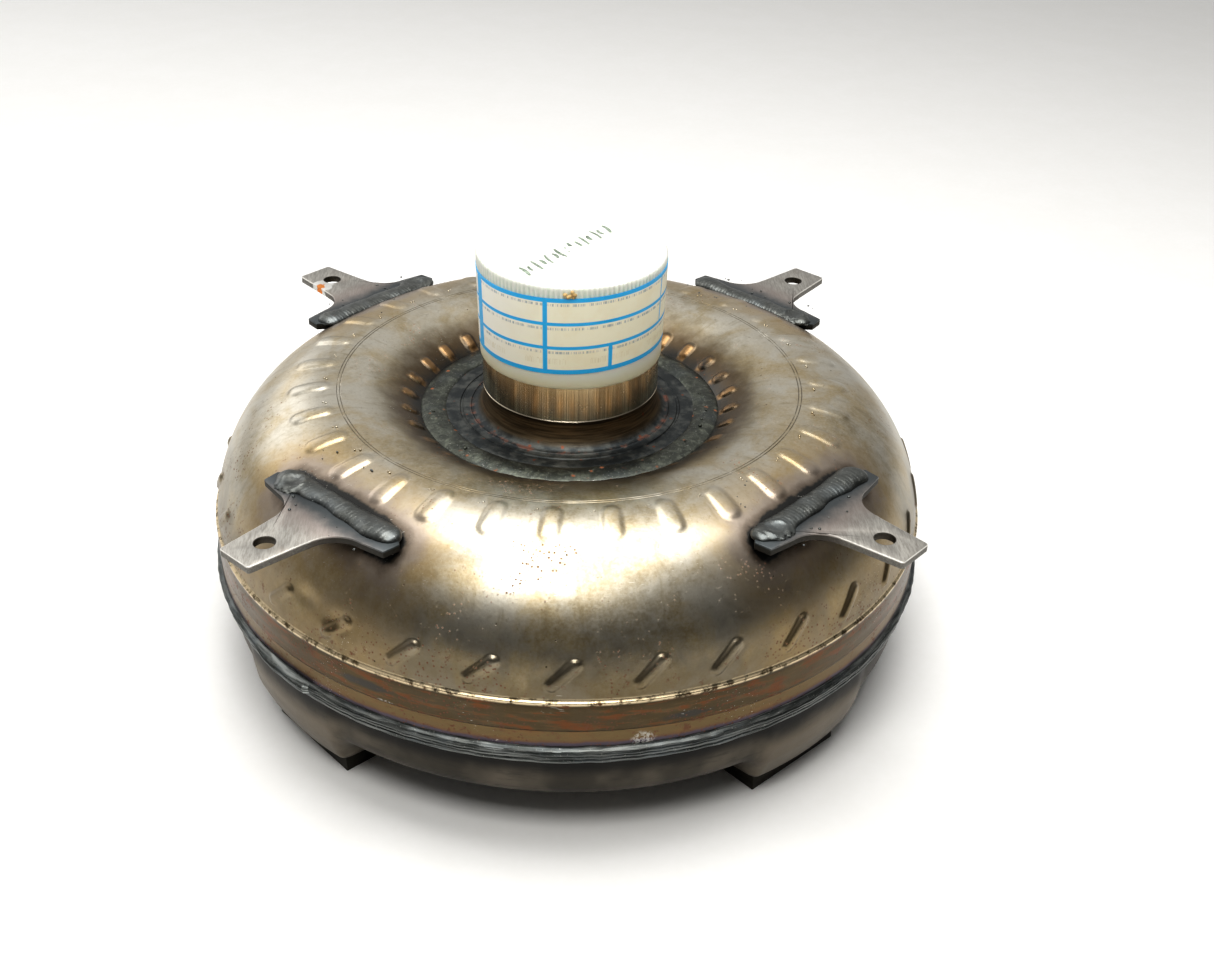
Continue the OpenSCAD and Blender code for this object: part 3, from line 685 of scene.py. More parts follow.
@dataclass(frozen=True)
class CapPlastic:
    """Milky plastic with a faint green cast, dusty at its lower rim."""

    low_z: float
    high_z: float

    def material(self) -> bpy.types.Material:
        """Builds the material.

        Returns:
            The material.
        """
        made, book = NodeBook.material("cap_plastic_look")
        at = book.place()
        cloud = book.noise(at.vector, 18, 3, 0.55)
        grain = book.noise(at.vector, 0.7, 2)
        colour = book.mix(cloud.ease(0.4, 0.7) * 0.35, (0.93, 0.96, 0.88), (0.86, 0.89, 0.76))
        wave = 0.5 - 0.5 * (at.angle * (CAP_RIBS * math.radians(1))).cosine()
        under_edge = at.z.ease(self.high_z - 0.6, self.high_z - 2.2)
        rib = wave * at.z.ease(self.low_z + 36, self.low_z + 43) * under_edge
        groove = (1 - rib) * at.z.ease(self.low_z + 38, self.low_z + 45) * under_edge
        colour = book.mix(groove * 0.35, colour, (0.45, 0.56, 0.46))
        dust = (at.z + (cloud - 0.5) * 8).ease(self.low_z + 9, self.low_z)
        colour = book.mix(dust * 0.7, colour, (0.80, 0.73, 0.46))
        book.close(
            base_color=colour, roughness=0.34 + grain * 0.12 + dust * 0.1,
            transmission_weight=0.14, subsurface_weight=0.25,
            subsurface_radius=(0.004, 0.005, 0.004), ior=1.5,
            normal=book.bump(grain + cloud * 0.6, 0.04),
        )
        return made


@dataclass(frozen=True)
class LabelPaper:
    """Cream label paper with a printed blue grid and rows of unreadable small print."""

    low_z: float
    lean: float
    paper: Colour = (0.99, 0.955, 0.755)
    ink: Colour = (0.0, 0.46, 0.96)
    rows: tuple[Point, ...] = ((1.0, 1.2), (13.1, 0.8), (24.9, 0.8), (36.6, 1.1))
    columns: tuple[tuple[float, float, float, float], ...] = (
        (-163.0, 3.1, 0, 40), (-107.0, 1.05, 0, 37), (-67.7, 0.95, 0, 13), (-24.9, 0.5, 13, 37),
        (12.0, 2.2, 0, 40),
    )

    def material(self) -> bpy.types.Material:
        """Builds the material.

        Returns:
            The material.
        """
        made, book = NodeBook.material("label_paper_look")
        at = book.place()
        drift = ((at.angle + 98.0) * math.radians(1)).sine() * self.lean
        up = at.z - self.low_z - drift
        fibre = book.noise(at.vector, 0.5, 3, 0.7)
        cloud = book.noise(at.vector, 12, 4, 0.65)
        colour = book.mix(cloud.ease(0.42, 0.7) * 0.45, self.paper, (0.92, 0.83, 0.58))
        colour = book.mix((at.along(-150)).ease(45, -5) * 0.8, colour, (0.97, 0.97, 0.93))
        line_number = up.do("FLOOR", up / 2.4)
        print_row = book.noise(book.vector(at.angle * 1.9, line_number * 3.1, 0.0), 1.3, 3, 0.9)
        caption = up * 0.0
        for height, _ in self.rows[1:]:
            line = abs(up - (height - 2.3)).ease(0.75, 0.45)
            caption = caption.above(line)
        caption = caption * print_row.ease(0.50, 0.53) * (at.angle * 0.109 % 1.0).ease(0.95, 0.85)
        colour = book.mix(caption * 0.62, colour, (0.10, 0.22, 0.34))
        typed = abs(up - 6.4).ease(1.6, 1.3) * print_row.ease(0.53, 0.55) * (at.angle % 40.0).ease(26, 25)
        colour = book.mix(typed * 0.35, colour, (0.62, 0.50, 0.26))
        grid = up * 0.0
        for height, half in self.rows:
            grid = grid.above(abs(up - height).ease(half + 0.12, half - 0.12))
        for degrees, half, start, end in self.columns:
            line = abs(at.along(degrees)).ease(half + 0.12, half - 0.12)
            if start > 0:
                line = line * up.ease(start - 0.1, start + 0.1)
            if end < 37:
                line = line * up.ease(end + 0.1, end - 0.1)
            grid = grid.above(line)
        faded = 0.99 - fibre.ease(0.60, 0.80) * 0.12
        colour = book.mix(grid * faded, colour, self.ink)
        book.close(
            base_color=colour, roughness=0.48 + fibre * 0.1, coat_weight=0.15 + 0.1 * cloud,
            coat_roughness=0.25, normal=book.bump(fibre + cloud, 0.03),
        )
        return made


@dataclass(frozen=True)
class SoftMatter:
    """A non-metal: lining, seal, pen ink, glue or studio paper."""

    name: str
    base: Colour
    other: Colour
    roughness: float = 0.7
    grain: float = 0.6
    relief: float = 0.05

    def material(self) -> bpy.types.Material:
        """Builds the material.

        Returns:
            The material.
        """
        made, book = NodeBook.material(self.name)
        at = book.place()
        cloud = book.noise(at.vector, self.grain * 9, 3, 0.6)
        grain = book.noise(at.vector, self.grain, 3, 0.65)
        colour = book.mix((cloud * 0.5 + grain * 0.5).ease(0.35, 0.7), self.base, self.other)
        book.close(
            base_color=colour, roughness=self.roughness + grain * 0.1,
            normal=book.bump(grain, self.relief),
        )
        return made


# ---------------------------------------------------------------- mesh tools


def ease(value: np.ndarray, start: float, end: float) -> np.ndarray:
    """0 at start and 1 at end, smoothly; start may be the larger."""
    share = np.clip((value - start) / (end - start), 0, 1)
    return share * share * (3 - 2 * share)


def arc(centre: Point, half_r: float, half_z: float, start: float, end: float, count: int) -> list[Point]:
    """Puts points on an ellipse in the radius-height plane.

    Args:
        centre: Radius and height of the middle.
        half_r: Half the ellipse's width.
        half_z: Half its height.
        start: First angle in degrees.
        end: Last angle in degrees.
        count: Number of points.

    Returns:
        The points from the first angle to the last.
    """
    turns = np.radians(np.linspace(start, end, count))
    return [(centre[0] + half_r * math.cos(t), centre[1] + half_z * math.sin(t)) for t in turns]


def resample(path: Sequence[Point], places: np.ndarray) -> np.ndarray:
    """Finds points of a path by their distance along it.

    Args:
        path: The path's corners.
        places: Distances along the path.

    Returns:
        The points in a (count, 2) array.
    """
    line = np.asarray(path, float)
    reach = np.concatenate([[0], np.cumsum(np.hypot(*np.diff(line, axis=0).T))])
    return np.stack([np.interp(places, reach, line[:, k]) for k in (0, 1)], axis=1)


def path_length(path: Sequence[Point]) -> float:
    """Length of a path of points."""
    return float(np.hypot(*np.diff(np.asarray(path, float), axis=0).T).sum())


class Wobble:
    """Smooth, repeatable unevenness round a circle."""

    def __init__(self, seed: int, waves: Sequence[int], size: float) -> None:
        """Draws one phase for each number of waves.

        Args:
            seed: Seed of the phases.
            waves: Numbers of waves round the circle.
            size: Largest swing of the whole, roughly.
        """
        self.waves = waves
        self.size = size
        self.phases = np.random.default_rng(seed).uniform(0, TAU, len(waves))

    def at(self, turn: np.ndarray) -> np.ndarray:
        """The unevenness at an angle in radians."""
        swings = [np.sin(w * turn + p) for w, p in zip(self.waves, self.phases)]
        return self.size * np.sum(swings, axis=0) / math.sqrt(len(self.waves))


class Shape:
    """Makes closed meshes in millimetres and hangs them on the frame."""

    @staticmethod
    def raw(
        name: str, points: np.ndarray, polygons: Sequence[np.ndarray], sharp: float = 38
    ) -> bpy.types.Object:
        """Makes an object from points and arrays of equal-sided polygons, facing outwards.

        Args:
            name: The piece's name.
            points: Corners in millimetres, in a (count, 3) array.
            polygons: Arrays of corner numbers, one array for each number of sides.
            sharp: Edges steeper than this many degrees stay sharp.

        Returns:
            The linked object.
        """
        size = 0.0
        for faces in polygons:
            corners = points[faces]
            for k in range(1, faces.shape[1] - 1):
                cross = np.cross(corners[:, k], corners[:, k + 1])
                size += float(np.einsum("ij,ij->", corners[:, 0], cross))
        if size < 0:
            polygons = [faces[:, ::-1] for faces in polygons]
        mesh = bpy.data.meshes.new(name)
        mesh.vertices.add(len(points))
        mesh.vertices.foreach_set("co", (points * MM).astype(np.float32).ravel())
        loops = np.concatenate([faces.ravel() for faces in polygons])
        sides = np.concatenate([np.full(len(faces), faces.shape[1]) for faces in polygons])
        mesh.loops.add(len(loops))
        mesh.loops.foreach_set("vertex_index", loops.astype(np.int32))
        mesh.polygons.add(len(sides))
        mesh.polygons.foreach_set("loop_start", (np.cumsum(sides) - sides).astype(np.int32))
        mesh.update(calc_edges=True)
        return Shape.link(name, mesh, sharp)

    @staticmethod
    def link(name: str, mesh: bpy.types.Mesh, sharp: float = 38) -> bpy.types.Object:
        """Puts a mesh in the scene, smooth apart from its sharp edges.

        Args:
            name: The piece's name.
            mesh: The finished mesh.
            sharp: Edges steeper than this many degrees stay sharp.

        Returns:
            The linked object.
        """
        mesh.polygons.foreach_set("use_smooth", [True] * len(mesh.polygons))
        mesh.set_sharp_from_angle(angle=math.radians(sharp))
        made = bpy.data.objects.new(name, mesh)
        bpy.context.scene.collection.objects.link(made)
        return made

    @staticmethod
    def grid(name: str, points: np.ndarray, loop: bool = True, sharp: float = 38) -> bpy.types.Object:
        """Joins a (rows, columns, 3) array of points into a closed skin.

        Args:
            name: The piece's name.
            points: Rows of points; each row closes on itself.
            loop: True if the last row joins the first; else both ends close at their middle.
            sharp: Edges steeper than this many degrees stay sharp.

        Returns:
            The linked object.
        """
        rows, columns = points.shape[:2]
        numbers = np.arange(rows * columns).reshape(rows, columns)
        after = np.roll(numbers, -1, axis=1)
        low, low_after = numbers[:-1], after[:-1]
        high, high_after = numbers[1:], after[1:]
        if loop:
            low, low_after = numbers, after
            high, high_after = np.roll(numbers, -1, axis=0), np.roll(after, -1, axis=0)
        quads = np.stack([low, low_after, high_after, high], axis=-1).reshape(-1, 4)
        flat = points.reshape(-1, 3)
        if loop:
            return Shape.raw(name, flat, [quads], sharp)
        ends = np.stack([points[0].mean(0), points[-1].mean(0)])
        count = len(flat)
        first = np.stack([after[0], numbers[0], np.full(columns, count)], axis=-1)
        last = np.stack([numbers[-1], after[-1], np.full(columns, count + 1)], axis=-1)
        return Shape.raw(name, np.concatenate([flat, ends]), [quads, np.concatenate([first, last])], sharp)

    @staticmethod
    def turn(radius: np.ndarray, height: np.ndarray, angles: np.ndarray) -> np.ndarray:
        """Turns radii and heights about the axis.

        Args:
            radius: Radii in a (rows, columns) or (rows, 1) array.
            height: Heights in an array of either shape.
            angles: Angle of each column, in radians.

        Returns:
            The points in a (rows, columns, 3) array.
        """
        full = np.broadcast_to(radius, (radius.shape[0], len(angles)))
        tall = np.broadcast_to(height, full.shape)
        return np.stack([full * np.cos(angles), full * np.sin(angles), tall], axis=-1)

    @staticmethod
    def skin(
        name: str, radius: np.ndarray, height: np.ndarray, back: Sequence[Point], sharp: float = 38
    ) -> bpy.types.Object:
        """Closes a turned face of uneven radii and heights with a plain back.

        Args:
            name: The piece's name.
            radius: Radii of the face in a (rows, columns) array.
            height: Heights of the face in an array of the same shape.
            back: Radius and height of each row of the back, going on from the face.
            sharp: Edges steeper than this many degrees stay sharp.

        Returns:
            The linked object.
        """
        columns = radius.shape[1]
        line = np.asarray(back, float)
        full = (len(line), columns)
        radii = np.concatenate([radius, np.broadcast_to(line[:, :1], full)])
        heights = np.concatenate([height, np.broadcast_to(line[:, 1:], full)])
        angles = np.linspace(0, TAU, columns, endpoint=False)
        return Shape.grid(name, Shape.turn(radii, heights, angles), True, sharp)

    @staticmethod
    def lathe(
        name: str, profile: Sequence[Point], columns: int, loop: bool = True, sharp: float = 30
    ) -> bpy.types.Object:
        """Turns an outline about the axis into a closed piece.

        Args:
            name: The piece's name.
            profile: Radius and height of each corner.
            columns: Number of steps round the axis.
            loop: True for a ring; else both ends close at the axis.
            sharp: Edges steeper than this many degrees stay sharp.

        Returns:
            The linked object.
        """
        line = np.asarray(profile, float)
        angles = np.linspace(0, TAU, columns, endpoint=False)
        return Shape.grid(name, Shape.turn(line[:, :1], line[:, 1:], angles), loop, sharp)

    @staticmethod
    def join(name: str, pieces: Sequence[bpy.types.Object]) -> bpy.types.Object:
        """Joins several objects into one.

        Args:
            name: The joined object's name.
            pieces: The objects; the first one stays.

        Returns:
            The joined object.
        """
        with bpy.context.temp_override(active_object=pieces[0], selected_editable_objects=list(pieces)):
            bpy.ops.object.join()
        pieces[0].name = name
        pieces[0].data.name = name
        return pieces[0]

    @staticmethod
    def carve(piece: bpy.types.Object, cutter: bpy.types.Object) -> None:
        """Cuts one closed piece out of another and removes the cutter.

        Args:
            piece: The piece that is cut.
            cutter: The shape that is taken away.
        """
        cut = piece.modifiers.new("cut", "BOOLEAN")
        cut.object = cutter
        cut.solver = "EXACT"
        graph = bpy.context.evaluated_depsgraph_get()
        mesh = bpy.data.meshes.new_from_object(piece.evaluated_get(graph))
        piece.modifiers.clear()
        piece.data = mesh
        bpy.data.objects.remove(cutter)

    @staticmethod
    def beads(name: str, middles: np.ndarray, radii: np.ndarray, flat: float = 0.7) -> bpy.types.Object:
        """Makes many small drops as one object.

        Args:
            name: The object's name.
            middles: Middles of the drops in millimetres.
            radii: Their radii in millimetres.
            flat: Height of a drop against its width.

        Returns:
            The linked object.
        """
        shell = bmesh.new()
        for middle, radius in zip(middles, radii):
            place = Matrix.Translation(Vector(middle) * MM) @ Matrix.Diagonal((1, 1, flat, 1))
            bmesh.ops.create_icosphere(shell, subdivisions=2, radius=float(radius) * MM, matrix=place)
        mesh = bpy.data.meshes.new(name)
        shell.to_mesh(mesh)
        shell.free()
        return Shape.link(name, mesh)


@dataclass(frozen=True)
class Plate:
    """A flat plate with an outline, one round hole and broken edges, in millimetres."""

    outline: Sequence[Point]
    hole: tuple[float, float, float]
    low: float
    high: float
    bevel: float = 0.3
    hole_sides: int = 48

    def build(self, name: str, degrees: float) -> bpy.types.Object:
        """Builds the plate, turned about the axis.

        Args:
            name: The piece's name.
            degrees: The turn about Z.

        Returns:
            The linked object.
        """
        x, y, radius = self.hole
        turns = np.linspace(0, TAU, self.hole_sides, endpoint=False)
        ring = [(x + radius * math.cos(t), y + radius * math.sin(t)) for t in turns]
        loops = [list(self.outline), ring]
        flat = [point for loop in loops for point in loop]
        facets = tessellate_polygon([[Vector((*p, 0)) for p in loop] for loop in loops])
        work = bmesh.new()
        layers = [[work.verts.new((px, py, z)) for px, py in flat] for z in (self.low, self.high)]
        for a, b, c in facets:
            work.faces.new([layers[0][a], layers[0][b], layers[0][c]])
            work.faces.new([layers[1][c], layers[1][b], layers[1][a]])
        start = 0
        for loop in loops:
            count = len(loop)
            for k in range(count):
                a, b = start + k, start + (k + 1) % count
                work.faces.new([layers[0][a], layers[0][b], layers[1][b], layers[1][a]])
            start += count
        bmesh.ops.recalc_face_normals(work, faces=work.faces)
        edges = [e for e in work.edges if e.calc_face_angle(0) > math.radians(25)]
        bmesh.ops.bevel(work, geom=edges, offset=self.bevel, segments=2, affect="EDGES", profile=0.6)
        spin = Matrix.Rotation(math.radians(degrees), 3, "Z")
        bmesh.ops.rotate(work, verts=work.verts, cent=(0, 0, 0), matrix=spin)
        bmesh.ops.scale(work, verts=work.verts, vec=(MM, MM, MM))
        mesh = bpy.data.meshes.new(name)
        work.to_mesh(mesh)
        work.free()
        return Shape.link(name, mesh, 32)


def hang(
    piece: bpy.types.Object, body: str, slot: str, look: bpy.types.Material, *nodes: str
) -> bpy.types.Object:
    """Dresses a piece and hangs it on the frame.

    Args:
        piece: The finished mesh.
        body: The CAD body that it rides on.
        slot: The record's material slot; not used.
        look: Its material.
        *nodes: The CAD nodes that it stands for.

    Returns:
        The same piece.
    """
    piece.data.materials.clear()
    piece.data.materials.append(look)
    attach(piece, body)
    if nodes:
        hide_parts(*nodes)
    LOG.info("%s: %d faces on %s", piece.name, len(piece.data.polygons), body)
    return piece


def span(node: str) -> tuple[Vector, Vector]:
    """Lowest and highest corner of a CAD node, in millimetres."""
    low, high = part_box(node)
    return low / MM, high / MM


# ---------------------------------------------------------------- sub-assemblies


@dataclass(frozen=True)
class TabRow:
    """A ring of raised tab marks on the shell with small errors, lower towards -Y where front_fade is set."""

    first: float
    radius: float
    s: float
    length: float
    width: float
    slant: float
    rise: float
    seed: int
    front_fade: float = 0.0

    def height(self, turn: np.ndarray, s: np.ndarray, count: int) -> np.ndarray:
        """Height of the marks over the shell.

        Args:
            turn: Angles about the axis in degrees, as a row.
            s: Distances along the section, as a column.
            count: Number of marks in the ring.

        Returns:
            The height in millimetres for each place.
        """
        pitch = 360 / count
        step = (turn - self.first) / pitch
        number = np.round(step).astype(int) % count
        draw = np.random.default_rng(self.seed)
        shift = draw.normal(0, 0.35, count)
        lift = draw.normal(1, 0.12, count)
        tilt = draw.normal(0, 1.6, count)
        across = (step - np.round(step)) * math.radians(pitch) * self.radius + shift[number]
        along = s - self.s
        lean = np.radians(self.slant + tilt[number])
        x = across * np.cos(lean) + along * np.sin(lean)
        y = -across * np.sin(lean) + along * np.cos(lean)
        beyond = np.maximum(np.abs(y) - (self.length - self.width) / 2, 0)
        reach = np.hypot(x, beyond) / (self.width / 2)
        from_front = np.abs((turn + 270) % 360 - 180)
        rise = self.rise * lift[number] * (1 - self.front_fade * ease(from_front, 70, 45))
        return rise * (0.75 * ease(reach, 1.18, 0.52) + 0.25 * ease(reach, 1.0, 0.0))


@dataclass
class ImpellerShell:
    """Pressed outer shell with three rings of blade-tab marks, a scribed circle and a ridge."""

    crown_r: float = 113
    half_h: float = 62.5
    half_out: float = 58.4
    half_in: float = 65
    wall: float = 4
    blades: int = BLADES
    columns: int = BLADES * 40
    ridge_z: float = 80.4
    step_z: float = 66
    scribed_r: tuple[float, float] = SCRIBED_R

    def section(self) -> tuple[np.ndarray, np.ndarray, np.ndarray]:
        """Outer section from the hub weld to the skirt's end.

        Returns:
            The points, their outward directions and their distances along the section.
        """
        low, high = span("impeller_shell")
        skirt_r, mid_z = high.x, high.z - self.half_h
        self.mid_z = mid_z
        start = 180 - math.degrees(math.asin((123.1 - 1.2 - mid_z) / self.half_h))
        inner = arc((self.crown_r, mid_z), self.half_in, self.half_h, start, 90, 240)
        end = math.degrees(math.asin((self.ridge_z + 1.5 - mid_z) / self.half_h))
        outer = arc((self.crown_r, mid_z), self.half_out, self.half_h, 89.7, end, 400)
        toe_r = outer[-1][0]
        ridge = [(toe_r + 0.12, self.ridge_z + 1.0)]
        ridge += arc((skirt_r - 0.75, self.ridge_z - 0.3), 0.75, 0.75, 80, 0, 7)
        wall = [
            (skirt_r - 0.30, 78.4), (skirt_r - 0.12, 76), (skirt_r - 0.02, 73), (skirt_r - 0.10, 70),
            (skirt_r, self.step_z + 0.4), (skirt_r - 0.12, self.step_z + 0.1),
            (skirt_r - 0.38, self.step_z - 0.3), (skirt_r - 0.42, self.step_z - 0.7),
            (skirt_r - 0.30, 58.0), (skirt_r - 0.30, low.z),
        ]
        path = inner + outer + ridge + wall
        crown = path_length(inner)
        ridge_s = path_length(inner + outer)
        total = path_length(path)
        scribed = [path_length([p for p in inner if p[0] <= r]) for r in self.scribed_r]
        places = [
            np.arange(0, ridge_s - 2, 1.0),
            np.concatenate([np.arange(s - 0.45, s + 0.46, 0.15) for s in scribed]),
            np.arange(ridge_s - 26, ridge_s - 2, 0.5),
            np.arange(ridge_s - 2, ridge_s + 4, 0.28),
            np.arange(ridge_s + 4, total, 1.4),
            np.arange(ridge_s + 14, ridge_s + 18, 0.3),
            [total],
        ]
        places = np.unique(np.round(np.concatenate(places), 3))
        points = resample(path, places)
        slope = resample(path, np.minimum(places + 0.3, total)) - resample(path, np.maximum(places - 0.3, 0))
        outward = np.stack([-slope[:, 1], slope[:, 0]], axis=1)
        outward /= np.hypot(*outward.T)[:, None]
        if outward[len(inner) // 8, 1] < 0:
            outward = -outward
        self.crown_s, self.ridge_s = crown, ridge_s
        return points, outward, places

    def rows(self) -> tuple[TabRow, ...]:
        """The three rings of marks, placed along the section."""
        return (
            TabRow(FIRST_HUB_TAB, 76.5, 9.2, 9.8, 6.6, 4, 1.05, 11, front_fade=0.8),
            TabRow(FIRST_CROWN_TAB, 124.3, self.crown_s + 11.2, 21.0, 9.2, 4, 0.80, 12),
            TabRow(-92.0, 169.5, self.ridge_s - 10.6, 18.6, 5.6, 46, 1.15, 13),
        )

    def build(self, look: bpy.types.Material) -> None:
        """Builds and hangs the shell with its small weld dots.

        Args:
            look: The shell's steel.
        """
        points, outward, places = self.section()
        angles = np.linspace(0, TAU, self.columns, endpoint=False)
        turn = np.degrees(angles)[None, :]
        s = places[:, None]
        height = sum(row.height(turn, s, self.blades) for row in self.rows())
        for radius in self.scribed_r:
            chatter = 0.7 + Wobble(5, (3, 7, 13, 29), 0.35).at(angles)[None, :]
            near = ease(np.abs(points[:, :1] - radius), 0.28, 0.05)
            height = height - 0.16 * chatter * near * (s < self.crown_s)
        sway = Wobble(7, (2, 3, 5, 9), 0.18).at(angles)[None, :]
        height = height + sway * ease(s, 8, 30) * ease(s, self.ridge_s, self.ridge_s - 30)
        height = height + self.dents(turn, s)
        radius = points[:, :1] + outward[:, :1] * height
        tall = points[:, 1:] + outward[:, 1:] * height
        skin = Shape.skin("impeller_shell_steel", radius, tall, self.inside())
        shell = Shape.join("impeller_shell_steel", [skin, self.dots()])
        hang(shell, "housing", "shell_steel", look, "impeller_shell")

    def dents(self, turn: np.ndarray, s: np.ndarray) -> np.ndarray:
        """Presses a few shallow knocks, and a smeared tab mark, into the shell.

        Args:
            turn: Angles of the columns in degrees.
            s: Distances of the rows along the section.

        Returns:
            Heights over the plain section.
        """
        total = np.zeros((s.shape[0], turn.shape[1]))
        knocks = ((-126.5, self.ridge_s - 13, 5.5, -0.9), (-128.0, self.ridge_s - 8, 4.0, 0.7),
                  (-133.0, self.ridge_s - 17, 6.0, -0.5), (-28.0, self.crown_s - 14, 11.0, -0.5),
                  (35.0, self.crown_s - 20, 16.0, -0.6), (140.0, self.ridge_s - 20, 12.0, -0.5))
        for degrees, middle, reach, depth in knocks:
            aside = ((turn - degrees + 180) % 360 - 180) * math.radians(160)
            total += depth * np.exp(-((aside / reach) ** 2 + ((s - middle) / (reach * 0.7)) ** 2))
        return total

    def inside(self) -> list[Point]:
        """Runs along the inner face from the skirt's end back to the hub weld.

        Returns:
            Radius and height of each corner.
        """
        low, high = span("impeller_shell")
        bore = high.x - self.wall - 0.3
        middle = (self.crown_r, self.mid_z)
        outer = arc(middle, self.half_out - self.wall, self.half_h - self.wall, 0, 88, 22)
        inner = arc(middle, self.half_in - self.wall, self.half_h - self.wall, 92, 136, 14)
        return [(bore, low.z), (bore, self.mid_z - 1)] + outer + inner

    def dots(self) -> bpy.types.Object:
        """Puts two tiny weld dots beside the inner end of each middle mark.

        Returns:
            The dots as one object.
        """
        middles, radii = [], []
        draw = np.random.default_rng(21)
        for k in range(self.blades):
            for j in range(2):
                aside = (6.6 + j * 1.3) / 118
                turn = math.radians(FIRST_CROWN_TAB + 360 / self.blades * k) - aside + draw.normal(0, 0.002)
                radius = 116.4 + j * 0.7 + draw.normal(0, 0.4)
                z = self.mid_z + self.half_h * math.sqrt(1 - ((radius - self.crown_r) / self.half_out) ** 2)
                middles.append((radius * math.cos(turn), radius * math.sin(turn), z + 0.05))
                radii.append(0.62 - 0.12 * j)
        return Shape.beads("dots", np.array(middles), np.array(radii))


@dataclass
class SeamWeld:
    """The three-pass weld round the seam, with the end of its last pass lying on top."""

    columns: int = BLADES * 40
    rows: int = 34
    end_degrees: float = WELD_TAIL_END
    tail_degrees: float = 16.0

    def build(self, look: bpy.types.Material) -> None:
        """Builds and hangs the weld.

        Args:
            look: The weld's steel.
        """
        low, high = span("seam_weld")
        shell_r = span("impeller_shell")[1].x
        cover_r = 170.0
        angles = np.linspace(0, TAU, self.columns, endpoint=False)
        share = np.linspace(0, 1, self.rows)[:, None]
        shift = Wobble(31, (5, 9, 17, 23, 41), 0.016).at(angles)[None, :]
        height = low.z + 0.15 + (high.z - low.z - 0.3) * share
        edge = Wobble(32, (11, 19, 37, 53, 71, 97), 0.22).at(angles)[None, :] * share ** 3
        edge = edge + Wobble(36, (13, 29, 47, 61, 83), 0.22).at(angles)[None, :] * (1 - share) ** 3
        base = cover_r + (shell_r - 0.2 - cover_r) * ease(share, 0.25, 0.95)
        crown = 3.3 * np.sqrt(np.clip(1 - (2 * share - 0.72) ** 2 / 1.65, 0, 1))
        crown = crown * ease(share, 0, 0.10) * ease(share, 1.0, 0.82)
        groove = np.zeros((self.rows, self.columns))
        for number, middle in enumerate((0.30, 0.55, 0.78)):
            drift = Wobble(33 + number, (4, 7, 15, 27, 45), 0.018).at(angles)[None, :]
            groove += np.exp(-(((share - middle - drift - shift) / 0.045) ** 2))
        uneven = Wobble(38, (21, 35, 55, 89, 131), 0.14).at(angles)[None, :]
        radius = base + crown * (1 + 0.03 * uneven) - 0.62 * groove
        radius = radius + uneven * ease(share, 0, 0.2) * ease(share, 1, 0.85)
        back = (self.end_degrees - np.degrees(angles)[None, :]) % 360
        tail = ease(back, 0.0, 0.5) * ease(back, self.tail_degrees, self.tail_degrees * 0.5)
        across = np.abs(share - 0.60 - 0.01 * back)
        radius = radius + 1.9 * tail * ease(across, 0.30, 0.22)
        hidden = [(shell_r - 2.0, high.z - 1.0), (168.6, high.z - 3)]
        hidden += [(168.6, low.z + 2.2), (169.0, low.z + 0.7)]
        bead = Shape.skin("seam_weld_bead", np.minimum(radius, high.x + 1.2), height + edge, hidden, 60)
        hang(bead, "housing", "seam_weld", look, "seam_weld")


